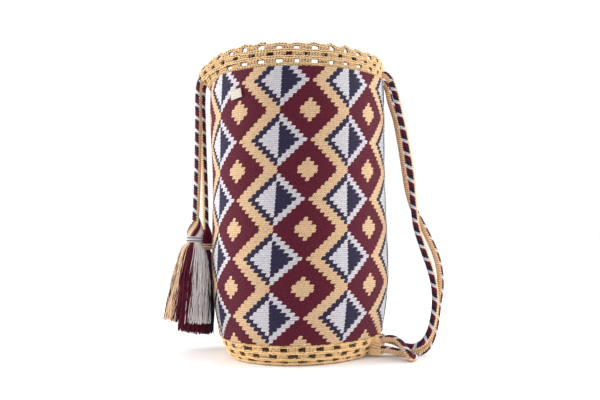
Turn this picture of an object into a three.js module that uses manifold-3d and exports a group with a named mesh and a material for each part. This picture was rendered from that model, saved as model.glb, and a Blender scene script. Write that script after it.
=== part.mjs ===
// A crocheted drawstring backpack: a tapestry-crochet wall on a round base, openwork bands at the foot and
// the rim, a drawcord that ends in two tassels, and a doubled shoulder strap hitched to the base.
// Millimetres and degrees, +Z up. Bearing 0 faces the front (-Y) and bearing 90 the right (+X).
import * as THREE from "three";
import { mergeGeometries, mergeVertices } from "three/addons/utils/BufferGeometryUtils.js";
import Module from "manifold-3d";

const wasm = await Module();
wasm.setup();

// The bag's heights, radii and fabric thicknesses
const BASE_RADIUS = 96;
const BASE_THICKNESS = 4;
const FOOT_BAND_HEIGHT = 28;
const FOOT_RADIUS = 109.5;
const FOOT_BELLY = 2.5;
const WALL_HEIGHT = 342;
const WALL_THICKNESS = 3.5;
const HIP_RADIUS = 119;
const WAIST_RADIUS = 115.5;
const SHOULDER_RADIUS = 117;
const MOUTH_RADIUS = 116;
const HIP_RISE = 77;
const WAIST_RISE = 200;
const SHOULDER_RISE = 290;
const RIM_HEIGHT = 28;
const RIM_BELLY = 1.5;
const BAND_THICKNESS = 4.5;

// The wall is a little oval, widest towards the front left, and its rounds of stitches stand up as ribs
const OVALITY = 0.042;
const OVAL_BEARING = -56;
const RIB_COUNT = 16;
const RIB_RELIEF = 0.8;

// Openwork: rows of eyelets, each row half a pitch round from the next
const RIM_EYELETS = 32;
const RIM_EYELET_WIDTH = 7.2;
const RIM_EYELET_HEIGHT = 4.8;
const RIM_FIRST_ROW = 6.5;
const RIM_ROW_PITCH = 8.2;
const FOOT_EYELETS = 28;
const FOOT_EYELET_WIDTH = 8.8;
const FOOT_EYELET_HEIGHT = 4.6;
const FOOT_FIRST_ROW = 4.6;
const FOOT_ROW_PITCH = 8.7;
const EYELET_ROWS = 3;
const SCALLOP_DEPTH = 2;

// The tassels' weight draws the rim outwards where their cord leaves it
const PULL_OUT = 13;
const PULL_BEARING = -90;
const PULL_SPREAD = 15;
const PULL_SWEEP = 0.85;

// Cords, and the clearances between pieces that meet
const CORD_DIAMETER = 9;
const JOIN_GAP = 0.3;
const CORD_CLEARANCE = 0.4;
const TAB_CLEARANCE = 0.8;
const RUN_CLEARANCE = 1.1;
const EXIT_MARGIN = 6;

// The blank label
const LABEL_WIDTH = 16.5;
const LABEL_HEIGHT = 11.5;
const LABEL_THICKNESS = 1.2;
const LABEL_CORNER = 1.5;
const LABEL_BEARING = -39;
const LABEL_DROP = 30;
const LABEL_TILT = 10;

// The crocheted tab on the base that holds the strap
const TAB_WIDTH = 24;
const TAB_HEIGHT = 25;
const TAB_DEPTH = 24;
const TAB_CORNER = 7;
const TAB_BEARING = 68.5;
const TAB_RISE = 15.5;
const TAB_STAND_OUT = 10;

// Tassels: a head that swings about its own centre, a bound neck and a flattened skirt of strands
const FRONT_TASSEL = { pivot: [-139, -36, 175], lean: 6, length: 126, hemRadius: 33 };
const BACK_TASSEL = { pivot: [-135, 29, 163], lean: 7, length: 140, hemRadius: 27 };
const HEAD_RADIUS = 11;
const NECK_RADIUS = 8.5;
const NECK_DROP = 12;
const BINDING_HEIGHT = 8;
const BINDING_THICKNESS = 2.4;
const BINDING_TURNS = 4;
const BINDING_GROOVE = 0.6;
const SKIRT_FLATNESS = 0.75;
const FLUTE_COUNT = 10;
const FLUTE_RELIEF = 0.07;

// How finely the shapes are made
const WALL_SEGMENTS = 32;
const POINTS_PER_LINING_STEP = 8;
const FACETS_PER_EYELET = 2;
const SEGMENTS_PER_FLUTE = 3;
const SKIRT_SHARES = [0, 0.2, 0.45, 0.7, 0.9, 1];
const SKIRT_FLARE = 0.45;
const HEAD_STEPS = 4;
const CORNER_STEPS = 4;
const CORD_SIDES = 8;
const BINDING_SEGMENTS = 12;
const CORD_STEP = 16;
const BEND_STEP = 8;
const LENGTHS_PER_SPAN = 40;
const MERGE_DISTANCE = 1e-4;

// Heights up the bag
const FOOT_TOP = FOOT_BAND_HEIGHT;
const WALL_BOTTOM = FOOT_TOP + JOIN_GAP;
const WALL_TOP = WALL_BOTTOM + WALL_HEIGHT;
const RIM_BOTTOM = WALL_TOP + JOIN_GAP;
const RIM_TOP = RIM_BOTTOM + RIM_HEIGHT;
const RUN_HEIGHT = RIM_BOTTOM + RIM_FIRST_ROW + RIM_ROW_PITCH;
const RIM_INNER_RADIUS = MOUTH_RADIUS + (BAND_THICKNESS - WALL_THICKNESS) / 2 - BAND_THICKNESS;
const RUN_RADIUS = RIM_INNER_RADIUS - RUN_CLEARANCE - CORD_DIAMETER / 2;
const CUT_DEPTH = 4 * BAND_THICKNESS;

// Where a drawcord tail meets the head of its tassel
function tailStart({ pivot: [x, y, z] }) {
  return [x, y, z + HEAD_RADIUS + JOIN_GAP];
}

// Routes of the cords, chosen by hand. Each tail runs from its tassel up to the rim.
const FRONT_TAIL_ROUTE = [
  tailStart(FRONT_TASSEL),
  [-137.2, -32, 225],
  [-135.8, -26, 280],
  [-135.5, -20, 328],
  [-135.5, -15.5, 355],
  [-132.5, -13.5, 374],
  [-121, -14.5, RUN_HEIGHT],
];
const BACK_TAIL_ROUTE = [
  tailStart(BACK_TASSEL),
  [-135, 27, 225],
  [-135.5, 23, 280],
  [-135.5, 19, 328],
  [-135, 16, 355],
  [-132, 14, 374],
  [-121, 15, RUN_HEIGHT],
];

// The strap leaves the base tab as the front strand, passes through the rim and comes back as the back strand
const FRONT_STRAND_ROUTE = [
  [94, -33, 21.5],
  [103, -36, 21.5],
  [112, -39, 21.5],
  [122, -43, 19.5],
  [134, -48, 14.5],
  [147, -51, 13.5],
  [158, -51.5, 18.5],
  [166.5, -50.5, 29.5],
  [172.5, -48.5, 46],
  [176.5, -45.5, 68],
  [176.8, -42, 90],
  [172.5, -38, 114],
  [164, -34, 142],
  [156, -31, 172],
  [153, -28.5, 205],
  [151, -27, 240],
  [147, -26, 270],
  [142, -25, 301],
  [136.5, -24, 328],
  [131.5, -23, 352],
  [126.5, -22, 367],
];
const RIM_PASS_ROUTE = [
  [118, -20, 377.5],
  [109.5, -14, 376],
  [106.5, 0, 375.5],
  [109.5, 14, 376],
  [118, 20, 377.5],
];
const BACK_STRAND_ROUTE = [
  [126, 18.5, 367],
  [129.5, 14, 348],
  [136.5, 10, 321],
  [141.5, 6, 290],
  [146, 1, 253],
  [149.5, -5, 222],
  [155, -11, 198],
  [164, -14.5, 178],
  [174, -18, 156],
  [182.5, -22, 134],
  [187, -26, 112],
  [187, -30, 90],
  [182.5, -34, 66],
  [178, -38.5, 42],
  [172, -41.5, 23],
  [164.5, -43, 10.5],
  [155, -44, 5],
  [143, -42.5, 4.8],
  [130, -40, 5],
  [117, -36.5, 7.5],
  [102, -33, 9.5],
  [93, -30, 9.5],
];

// The strap's end loop, hitched over both strands: out of the tab, round its bight and back
const HITCH_ROUTE = [
  [90, -41, 21.5],
  [99, -45, 21.5],
  [108, -49, 24],
  [116, -55, 26],
  [123, -62, 24.5],
  [129, -69.5, 19.5],
  [134, -76.5, 11.5],
  [138.5, -80.5, 5.8],
  [142.8, -76.5, 4.8],
  [141.5, -69.5, 5],
  [135, -64, 6.5],
  [126, -58.5, 8.5],
  [116, -54, 10],
  [107, -49, 10],
  [98, -44.5, 9.5],
  [89, -40, 9.5],
];

// The drawcord's run inside the rim, between its two tails
const RUN_FIRST_BEARING = -70;
const RUN_LAST_BEARING = 250;
const RUN_BEARING_STEP = 20;

const TAN = new THREE.MeshStandardMaterial({ color: 0xe4be8c, roughness: 0.95, metalness: 0 });
const TAPESTRY = new THREE.MeshStandardMaterial({ color: 0x682036, roughness: 0.95, metalness: 0 });
const STRIPED = new THREE.MeshStandardMaterial({ color: 0xb98a72, roughness: 0.95, metalness: 0 });
const MAROON = new THREE.MeshStandardMaterial({ color: 0x6a2138, roughness: 0.9, metalness: 0 });
const GREY = new THREE.MeshStandardMaterial({ color: 0xb2acac, roughness: 0.9, metalness: 0 });
const CREAM = new THREE.MeshStandardMaterial({ color: 0xe6dccb, roughness: 0.7, metalness: 0 });

const radians = THREE.MathUtils.degToRad;

// The signed angle from one bearing to another, within half a turn
function turnBetween(from, to) {
  return THREE.MathUtils.euclideanModulo(to - from + 180, 360) - 180;
}

function bearingOf(x, y) {
  return THREE.MathUtils.radToDeg(Math.atan2(x, -y));
}

// How far the rim is drawn outwards at a bearing and height
function pullAt(bearing, height) {
  const share = THREE.MathUtils.clamp((height - RIM_BOTTOM) / RIM_HEIGHT, 0, 1);
  const offset = turnBetween(PULL_BEARING, bearing) / PULL_SPREAD;
  return PULL_OUT * Math.exp(-(offset ** 2)) * Math.sin(Math.PI * PULL_SWEEP * share);
}

// The place on the real, oval bag of a point on the round one
function onBag(bearing, radius, height) {
  const oval = 1 + OVALITY * Math.cos(radians(2 * (bearing - OVAL_BEARING)));
  const reach = radius * oval + pullAt(bearing, height);
  return new THREE.Vector3(
    reach * Math.sin(radians(bearing)),
    -reach * Math.cos(radians(bearing)),
    height,
  );
}

// Gives a round piece the bag's oval plan and drawn-out rim
function shapeLikeBag(geometry) {
  const position = geometry.attributes.position;
  for (let i = 0; i < position.count; i += 1) {
    const [x, y, z] = [position.getX(i), position.getY(i), position.getZ(i)];
    const place = onBag(bearingOf(x, y), Math.hypot(x, y), z);
    position.setXYZ(i, place.x, place.y, place.z);
  }
  return geometry;
}

// A solid of revolution about Z from a profile of [radius, height] points, its outside going up
function turned(profile, segments, start = 0) {
  const points = profile.map(([radius, height]) => new THREE.Vector2(radius, height));
  return new THREE.LatheGeometry(points, segments, start).rotateX(Math.PI / 2);
}

// A ring whose outer and inner lines are given from bottom to top
function turnedRing(outer, inner, segments, start = 0) {
  return turned([...outer, ...inner.toReversed(), outer[0]], segments, start);
}

// A band's ring, with a flat facet behind each of its eyelets
function bandRing(levels, radiusAt, eyeletCount) {
  const outer = levels.map((z) => [radiusAt(z), z]);
  const inner = levels.map((z) => [radiusAt(z) - BAND_THICKNESS, z]);
  const facets = FACETS_PER_EYELET * eyeletCount;
  return turnedRing(outer, inner, facets, Math.PI / facets);
}

// A band's bottom, the levels half way between its rows of eyelets, and its top
function bandLevels(bottom, height, firstRow, pitch) {
  const between = [];
  for (let row = 1; row < EYELET_ROWS; row += 1) {
    between.push(bottom + firstRow + (row - 0.5) * pitch);
  }
  return [bottom, ...between, bottom + height];
}

function solidFrom(geometry) {
  const bare = new THREE.BufferGeometry();
  bare.setAttribute("position", geometry.attributes.position.clone());
  bare.setIndex(geometry.index ? geometry.index.clone() : null);
  const merged = mergeVertices(bare, MERGE_DISTANCE);
  return new wasm.Manifold(new wasm.Mesh({
    numProp: 3,
    vertProperties: new Float32Array(merged.attributes.position.array),
    triVerts: new Uint32Array(merged.index.array),
  }));
}

function geometryFrom(solid) {
  const mesh = solid.getMesh();
  const geometry = new THREE.BufferGeometry();
  geometry.setAttribute("position", new THREE.BufferAttribute(mesh.vertProperties, 3));
  geometry.setIndex(new THREE.BufferAttribute(mesh.triVerts, 1));
  geometry.computeVertexNormals();
  return geometry;
}

// A geometry with the space of each cutter taken out of it
function carved(geometry, cutters) {
  const cut = (left, cutter) => left.subtract(solidFrom(cutter));
  return geometryFrom(cutters.reduce(cut, solidFrom(geometry)));
}

// A flat plate with round corners, centred, its thickness along +Z
function roundedPlate(width, height, thickness, corner) {
  const [x, y] = [width / 2 - corner, height / 2 - corner];
  const outline = new THREE.Shape();
  outline.absarc(x, y, corner, 0, Math.PI / 2);
  outline.absarc(-x, y, corner, Math.PI / 2, Math.PI);
  outline.absarc(-x, -y, corner, Math.PI, 1.5 * Math.PI);
  outline.absarc(x, -y, corner, 1.5 * Math.PI, 2 * Math.PI);
  return new THREE.ExtrudeGeometry(outline, {
    depth: thickness,
    bevelEnabled: false,
    curveSegments: CORNER_STEPS,
  });
}

// Stands a plate up at a bearing, its back face at a distance from the bag's axis
function standAt(geometry, bearing, distance, height) {
  return geometry.rotateX(Math.PI / 2).translate(0, -distance, height).rotateZ(radians(bearing));
}

// Rows of box-shaped eyelets through a band, where middleAt gives the band's mid radius at a height
function eyeletBoxes({ count, width, height, bottom, firstRow, pitch, middleAt, isClear }) {
  const boxes = [];
  for (let row = 0; row < EYELET_ROWS; row += 1) {
    const level = bottom + firstRow + row * pitch;
    for (let i = 0; i < count; i += 1) {
      const bearing = (360 / count) * (i + (row % 2) / 2);
      const box = new THREE.BoxGeometry(width, CUT_DEPTH, height);
      box.translate(0, -middleAt(level), level).rotateZ(radians(bearing));
      if (isClear(bearing)) boxes.push(box);
    }
  }
  return mergeGeometries(boxes);
}

function curveThrough(route) {
  const points = route.map((point) => new THREE.Vector3(...point));
  return new THREE.CatmullRomCurve3(points, false, "centripetal");
}

// The stretch of a curve between two of its points, shortened by a gap at each end
class Stretch extends THREE.Curve {
  constructor(whole, first, last, startGap, endGap) {
    super();
    const spans = whole.points.length - 1;
    const lengths = whole.getLengths(LENGTHS_PER_SPAN * spans);
    this.whole = whole;
    this.total = lengths.at(-1);
    this.start = lengths[first * LENGTHS_PER_SPAN] + startGap;
    this.end = lengths[last * LENGTHS_PER_SPAN] - endGap;
  }

  getPoint(t, target = new THREE.Vector3()) {
    const along = THREE.MathUtils.lerp(this.start, this.end, t);
    return this.whole.getPointAt(along / this.total, target);
  }
}

// A round cord along a curve, or the space that it needs when it is given more than its own diameter
function cordAlong(curve, stepLength, diameter = CORD_DIAMETER) {
  const outline = [];
  for (let i = 0; i < CORD_SIDES; i += 1) {
    const angle = (2 * Math.PI * i) / CORD_SIDES;
    outline.push(new THREE.Vector2(Math.cos(angle), Math.sin(angle)).multiplyScalar(diameter / 2));
  }
  return new THREE.ExtrudeGeometry(new THREE.Shape(outline), {
    steps: Math.ceil(curve.getLength() / stepLength),
    bevelEnabled: false,
    extrudePath: curve,
  });
}

function roomAlong(curve, stepLength, clearance = CORD_CLEARANCE) {
  return cordAlong(curve, stepLength, CORD_DIAMETER + 2 * clearance);
}

// The drawcord, whole, then the stretches that it is made in
const RUN_ROUTE = [];
for (let bearing = RUN_FIRST_BEARING; bearing <= RUN_LAST_BEARING; bearing += RUN_BEARING_STEP) {
  RUN_ROUTE.push(onBag(bearing, RUN_RADIUS, RUN_HEIGHT).toArray());
}
const DRAWCORD = curveThrough([...FRONT_TAIL_ROUTE, ...RUN_ROUTE, ...BACK_TAIL_ROUTE.toReversed()]);
const FRONT_TAIL_TOP = FRONT_TAIL_ROUTE.length - 2;
const BACK_TAIL_TOP = DRAWCORD.points.length - BACK_TAIL_ROUTE.length + 1;
const FRONT_TAIL = new Stretch(DRAWCORD, 0, FRONT_TAIL_TOP, 0, JOIN_GAP);
const DRAWCORD_RUN = new Stretch(DRAWCORD, FRONT_TAIL_TOP, BACK_TAIL_TOP, 0, 0);
const BACK_TAIL = new Stretch(DRAWCORD, BACK_TAIL_TOP, DRAWCORD.points.length - 1, JOIN_GAP, 0);

// The strap, whole, then its stretches, with the ends of each strand inside the tab
const STRAP = curveThrough([...FRONT_STRAND_ROUTE, ...RIM_PASS_ROUTE, ...BACK_STRAND_ROUTE]);
const RIM_PASS_START = FRONT_STRAND_ROUTE.length - 1;
const RIM_PASS_END = FRONT_STRAND_ROUTE.length + RIM_PASS_ROUTE.length;
const FRONT_STRAND = new Stretch(STRAP, 1, RIM_PASS_START, 0, JOIN_GAP);
const RIM_PASS = new Stretch(STRAP, RIM_PASS_START, RIM_PASS_END, 0, 0);
const BACK_STRAND = new Stretch(STRAP, RIM_PASS_END, STRAP.points.length - 2, JOIN_GAP, 0);
const HITCH = curveThrough(HITCH_ROUTE);
const HITCH_LOOP = new Stretch(HITCH, 1, HITCH.points.length - 2, 0, 0);

// The outer line of the wall, from the foot band up to the rim, with two points to each rib
const WALL_LINE = new THREE.SplineCurve([
  new THREE.Vector2(FOOT_RADIUS, WALL_BOTTOM),
  new THREE.Vector2(HIP_RADIUS, WALL_BOTTOM + HIP_RISE),
  new THREE.Vector2(WAIST_RADIUS, WALL_BOTTOM + WAIST_RISE),
  new THREE.Vector2(SHOULDER_RADIUS, WALL_BOTTOM + SHOULDER_RISE),
  new THREE.Vector2(MOUTH_RADIUS, WALL_TOP),
]).getPoints(2 * RIB_COUNT);

function wallRadius(height) {
  const above = WALL_LINE.findIndex((point, i) => i > 0 && point.y >= height);
  const [low, high] = [WALL_LINE[above - 1], WALL_LINE[above]];
  return THREE.MathUtils.mapLinear(height, low.y, high.y, low.x, high.x);
}

function makeWall() {
  const outer = WALL_LINE.map(({ x, y }, i) => [x + RIB_RELIEF * (i % 2), y]);
  const coarse = WALL_LINE.filter((point, i) => i % POINTS_PER_LINING_STEP === 0);
  const inner = coarse.map(({ x, y }) => [x - WALL_THICKNESS, y]);
  return shapeLikeBag(turnedRing(outer, inner, WALL_SEGMENTS));
}

// The foot band's outer radius at a height
function footRadius(height) {
  const share = height / FOOT_BAND_HEIGHT;
  const straight = THREE.MathUtils.lerp(BASE_RADIUS, FOOT_RADIUS, share);
  return straight + FOOT_BELLY * Math.sin(Math.PI * share);
}

const FOOT_LEVELS = bandLevels(0, FOOT_BAND_HEIGHT, FOOT_FIRST_ROW, FOOT_ROW_PITCH);

function makeFootBand() {
  const holes = eyeletBoxes({
    count: FOOT_EYELETS,
    width: FOOT_EYELET_WIDTH,
    height: FOOT_EYELET_HEIGHT,
    bottom: 0,
    firstRow: FOOT_FIRST_ROW,
    pitch: FOOT_ROW_PITCH,
    middleAt: (z) => footRadius(z) - BAND_THICKNESS / 2,
    isClear: () => true,
  });
  return shapeLikeBag(carved(bandRing(FOOT_LEVELS, footRadius, FOOT_EYELETS), [holes]));
}

function makeBase() {
  const radius = BASE_RADIUS - BAND_THICKNESS - JOIN_GAP;
  const profile = [[0, 0], [radius, 0], [radius, BASE_THICKNESS], [0, BASE_THICKNESS]];
  return shapeLikeBag(turned(profile, WALL_SEGMENTS));
}

// The rim's outer radius at a height
function rimRadius(height) {
  const share = (height - RIM_BOTTOM) / RIM_HEIGHT;
  return RIM_INNER_RADIUS + BAND_THICKNESS + RIM_BELLY * Math.sin(Math.PI * share);
}

// Notches that leave a scallop over each eyelet of the rim's top row
function scallopNotches() {
  const side = SCALLOP_DEPTH * Math.SQRT2;
  const notches = [];
  for (let i = 0; i < RIM_EYELETS; i += 1) {
    const notch = new THREE.BoxGeometry(side, CUT_DEPTH, side).rotateY(Math.PI / 4);
    const bearing = (360 / RIM_EYELETS) * (i + 0.5);
    notches.push(notch.translate(0, -rimRadius(RIM_TOP), RIM_TOP).rotateZ(radians(bearing)));
  }
  return mergeGeometries(notches);
}

function makeRim() {
  const levels = bandLevels(RIM_BOTTOM, RIM_HEIGHT, RIM_FIRST_ROW, RIM_ROW_PITCH);
  const exits = [
    FRONT_TAIL_ROUTE.at(-1),
    BACK_TAIL_ROUTE.at(-1),
    RIM_PASS_ROUTE[0],
    RIM_PASS_ROUTE.at(-1),
  ].map(([x, y]) => bearingOf(x, y));
  const holes = eyeletBoxes({
    count: RIM_EYELETS,
    width: RIM_EYELET_WIDTH,
    height: RIM_EYELET_HEIGHT,
    bottom: RIM_BOTTOM,
    firstRow: RIM_FIRST_ROW,
    pitch: RIM_ROW_PITCH,
    middleAt: (z) => rimRadius(z) - BAND_THICKNESS / 2,
    isClear: (bearing) => exits.every((exit) => Math.abs(turnBetween(exit, bearing)) > EXIT_MARGIN),
  });
  const ring = bandRing(levels, rimRadius, RIM_EYELETS);
  const openwork = shapeLikeBag(carved(ring, [holes, scallopNotches()]));
  return carved(openwork, [
    roomAlong(FRONT_TAIL, CORD_STEP),
    roomAlong(DRAWCORD_RUN, CORD_STEP),
    roomAlong(BACK_TAIL, CORD_STEP),
    roomAlong(FRONT_STRAND, CORD_STEP),
    roomAlong(RIM_PASS, BEND_STEP),
    roomAlong(BACK_STRAND, CORD_STEP),
  ]);
}

function makeLabel() {
  const height = WALL_TOP - LABEL_DROP;
  const outside = onBag(LABEL_BEARING, wallRadius(height) + RIB_RELIEF + JOIN_GAP, height);
  const plate = roundedPlate(LABEL_WIDTH, LABEL_HEIGHT, LABEL_THICKNESS, LABEL_CORNER);
  plate.rotateZ(radians(LABEL_TILT));
  return standAt(plate, LABEL_BEARING, Math.hypot(outside.x, outside.y), height);
}

// The tab fits against the foot band and wall, and the strap's four ends run into it
function makeTab() {
  const block = roundedPlate(TAB_WIDTH, TAB_HEIGHT, TAB_DEPTH, TAB_CORNER);
  const front = onBag(TAB_BEARING, footRadius(TAB_RISE), TAB_RISE);
  const back = Math.hypot(front.x, front.y) + TAB_STAND_OUT - TAB_DEPTH;
  standAt(block, TAB_BEARING, back, TAB_RISE);
  const above = FOOT_TOP + TAB_HEIGHT;
  const bag = shapeLikeBag(turned([
    [0, -TAB_HEIGHT],
    [BASE_RADIUS + JOIN_GAP, -TAB_HEIGHT],
    ...FOOT_LEVELS.map((z) => [footRadius(z) + JOIN_GAP, z]),
    [wallRadius(above) + RIB_RELIEF + JOIN_GAP, above],
    [0, above],
  ], FACETS_PER_EYELET * FOOT_EYELETS, Math.PI / (FACETS_PER_EYELET * FOOT_EYELETS)));
  const ends = [STRAP, HITCH].flatMap((curve) => {
    const last = curve.points.length - 1;
    return [new Stretch(curve, 0, 2, 0, 0), new Stretch(curve, last - 2, last, 0, 0)];
  });
  return carved(block, [bag, ...ends.map((end) => roomAlong(end, BEND_STEP, TAB_CLEARANCE))]);
}

// A tassel's yarn: a round head on the pivot, the neck, and a fluted skirt down to the hem
function makeBundle({ length, hemRadius }) {
  const neckBottom = -NECK_DROP - BINDING_HEIGHT - 2 * JOIN_GAP;
  const skirt = SKIRT_SHARES.map((share) => [
    THREE.MathUtils.lerp(NECK_RADIUS + BINDING_THICKNESS, hemRadius, share ** SKIRT_FLARE),
    THREE.MathUtils.lerp(-length, neckBottom - BINDING_THICKNESS, 1 - share),
  ]);
  const headStart = -Math.acos(NECK_RADIUS / HEAD_RADIUS);
  const head = [];
  for (let i = 0; i <= HEAD_STEPS; i += 1) {
    const angle = THREE.MathUtils.lerp(headStart, Math.PI / 2, i / HEAD_STEPS);
    head.push([i < HEAD_STEPS ? HEAD_RADIUS * Math.cos(angle) : 0, HEAD_RADIUS * Math.sin(angle)]);
  }
  const neck = [[NECK_RADIUS, neckBottom], [NECK_RADIUS, -NECK_DROP]];
  const geometry = turned(
    [[0, -length], ...skirt.toReversed(), ...neck, ...head],
    FLUTE_COUNT * SEGMENTS_PER_FLUTE,
  );
  const position = geometry.attributes.position;
  for (let i = 0; i < position.count; i += 1) {
    const turn = Math.atan2(position.getX(i), -position.getY(i));
    const share = Math.max(0, (neckBottom - position.getZ(i)) / (length + neckBottom));
    const flute = 1 + FLUTE_RELIEF * Math.sqrt(share) * Math.cos(FLUTE_COUNT * turn);
    position.setX(i, position.getX(i) * flute);
    position.setY(i, position.getY(i) * flute);
  }
  return geometry.scale(1, SKIRT_FLATNESS, 1);
}

// The yarn wound round a tassel's neck
function makeBinding() {
  const inside = NECK_RADIUS + JOIN_GAP;
  const top = -NECK_DROP - JOIN_GAP;
  const outer = [];
  for (let i = 0; i <= 2 * BINDING_TURNS; i += 1) {
    const height = top - BINDING_HEIGHT * (1 - i / (2 * BINDING_TURNS));
    outer.push([inside + BINDING_THICKNESS * (i % 2 ? 1 : BINDING_GROOVE), height]);
  }
  const inner = [[inside, top - BINDING_HEIGHT], [inside, top]];
  return turnedRing(outer, inner, BINDING_SEGMENTS).scale(1, SKIRT_FLATNESS, 1);
}

function piece(name, geometry, material) {
  const mesh = new THREE.Mesh(geometry, material);
  mesh.name = name;
  return mesh;
}

function tassel(side, shape) {
  const group = new THREE.Group();
  group.position.set(...shape.pivot);
  group.rotation.y = radians(shape.lean);
  group.add(piece(`tassel_${side}_bundle`, makeBundle(shape), MAROON));
  group.add(piece(`tassel_${side}_binding`, makeBinding(), GREY));
  return group;
}

const backpack = new THREE.Group();
backpack.add(piece("base_disc", makeBase(), TAN));
backpack.add(piece("foot_band", makeFootBand(), TAN));
backpack.add(piece("wall", makeWall(), TAPESTRY));
backpack.add(piece("rim_band", makeRim(), TAN));
backpack.add(piece("label", makeLabel(), CREAM));
backpack.add(piece("strap_tab", makeTab(), TAN));
backpack.add(piece("drawcord_run", cordAlong(DRAWCORD_RUN, CORD_STEP), STRIPED));
backpack.add(piece("drawcord_tail_front", cordAlong(FRONT_TAIL, CORD_STEP), STRIPED));
backpack.add(piece("drawcord_tail_back", cordAlong(BACK_TAIL, CORD_STEP), STRIPED));
backpack.add(piece("strap_front_strand", cordAlong(FRONT_STRAND, CORD_STEP), STRIPED));
backpack.add(piece("strap_rim_pass", cordAlong(RIM_PASS, BEND_STEP), STRIPED));
backpack.add(piece("strap_back_strand", cordAlong(BACK_STRAND, CORD_STEP), STRIPED));
backpack.add(piece("strap_hitch_loop", cordAlong(HITCH_LOOP, BEND_STEP), STRIPED));
backpack.add(tassel("front", FRONT_TASSEL));
backpack.add(tassel("back", BACK_TASSEL));

export default backpack;
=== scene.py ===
# %% [markdown]
# # A crocheted drawstring backpack
# The imported solids give every size and place in this lesson. They are loaded first as a fixed frame, and
# each soft solid is then replaced by the yarn that it stands for.

# %% The frame
import math

import bpy
import numpy as np
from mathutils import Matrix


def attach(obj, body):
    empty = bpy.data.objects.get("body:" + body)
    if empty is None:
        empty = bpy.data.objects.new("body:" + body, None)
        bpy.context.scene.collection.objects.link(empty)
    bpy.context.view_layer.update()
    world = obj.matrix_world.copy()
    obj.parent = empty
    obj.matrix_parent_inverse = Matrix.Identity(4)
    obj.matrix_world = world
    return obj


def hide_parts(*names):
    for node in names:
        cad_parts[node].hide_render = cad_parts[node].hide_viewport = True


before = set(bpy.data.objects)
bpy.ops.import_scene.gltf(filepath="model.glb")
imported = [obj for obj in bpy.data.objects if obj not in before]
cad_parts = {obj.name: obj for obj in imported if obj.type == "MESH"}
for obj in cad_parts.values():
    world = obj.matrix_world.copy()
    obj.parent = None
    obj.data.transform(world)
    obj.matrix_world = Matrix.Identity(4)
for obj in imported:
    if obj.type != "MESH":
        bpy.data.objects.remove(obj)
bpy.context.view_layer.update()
MM = 0.001

# %% [markdown]
# ## The bag's form
# The bag is nearly round. A bearing of 0 faces the viewer and 90 the strap. One function turns a bearing, a
# radius and a height into a point on the slightly oval bag, whose rim the tassels draw outwards. Every
# stitch is placed with it, so that all of them sit on the same surface as the solids.

# %% Points on the bag
OVALITY = 0.042
OVAL_BEARING = -56
RIM_BOTTOM = 370.6
RIM_HEIGHT = 28
PULL_OUT = 13
PULL_BEARING = -90
PULL_SPREAD = 15
PULL_SWEEP = 0.85


def offset_from(bearing, middle, spread):
    """How many spreads a bearing lies from a middle bearing, the short way round."""
    return (np.mod(bearing - middle + 180, 360) - 180) / spread


def on_bag(bearing, radius, height):
    """Points on the bag in metres, from bearings in degrees and radii and heights in millimetres."""
    bearing, radius, height = np.broadcast_arrays(*(np.asarray(x, float) for x in (bearing, radius, height)))
    turn = np.radians(bearing)
    oval = 1 + OVALITY * np.cos(2 * (turn - math.radians(OVAL_BEARING)))
    share = np.clip((height - RIM_BOTTOM) / RIM_HEIGHT, 0, 1)
    offset = offset_from(bearing, PULL_BEARING, PULL_SPREAD)
    pull = PULL_OUT * np.exp(-offset**2) * np.sin(math.pi * PULL_SWEEP * share)
    reach = radius * oval + pull
    return np.stack([reach * np.sin(turn), -reach * np.cos(turn), height], -1) * MM


print("a round of 100 mm meets the viewer's side at", on_bag(0, 100, 0))

# %% [markdown]
# The wall swells at the hip, draws in at the waist and swells again below the rim. A spline through five
# radii gives that line with few numbers. The two bands have a plain slope with a small belly.

# %% Radii of the wall and the bands
BASE_RADIUS = 96
FOOT_HEIGHT = 28
FOOT_RADIUS = 109.5
FOOT_BELLY = 2.5
WALL_BOTTOM = 28.3
WALL_HEIGHT = 342
WALL_LINE = [(FOOT_RADIUS, 0), (119, 77), (115.5, 200), (117, 290), (116, WALL_HEIGHT)]
LINE_POINTS = 400
RIM_RADIUS = 116.5
RIM_BELLY = 1.5


def even_spline(values, t):
    """A uniform Catmull-Rom spline through values, with t from 0 to 1."""
    values = np.asarray(values, float)
    last = len(values) - 1
    at = np.clip(np.asarray(t, float) * last, 0, last)
    i = np.minimum(at.astype(int), last - 1)
    w = at - i
    p0, p1 = values[np.maximum(i - 1, 0)], values[i]
    p2, p3 = values[i + 1], values[np.minimum(i + 2, last)]
    v0, v1 = (p2 - p0) / 2, (p3 - p1) / 2
    return (2 * p1 - 2 * p2 + v0 + v1) * w**3 + (3 * p2 - 3 * p1 - 2 * v0 - v1) * w**2 + v0 * w + p1


line_steps = np.linspace(0, 1, LINE_POINTS)
LINE_RADII = even_spline([radius for radius, _ in WALL_LINE], line_steps)
LINE_HEIGHTS = even_spline([rise for _, rise in WALL_LINE], line_steps) + WALL_BOTTOM


def wall_radius(height):
    return np.interp(height, LINE_HEIGHTS, LINE_RADII)


def foot_radius(height):
    share = np.asarray(height, float) / FOOT_HEIGHT
    return BASE_RADIUS + (FOOT_RADIUS - BASE_RADIUS) * share + FOOT_BELLY * np.sin(math.pi * share)


def rim_radius(height):
    share = (np.asarray(height, float) - RIM_BOTTOM) / RIM_HEIGHT
    return RIM_RADIUS + RIM_BELLY * np.sin(math.pi * share)


print("wall radius at mid height:", float(wall_radius(WALL_BOTTOM + WALL_HEIGHT / 2)), "mm")

# %% [markdown]
# ## The camera
# The photograph looks straight at the front from a little under half the bag's height. A level camera with
# a small vertical shift keeps the bag's sides upright, as they are there, and a slight roll gives its lean.

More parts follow.
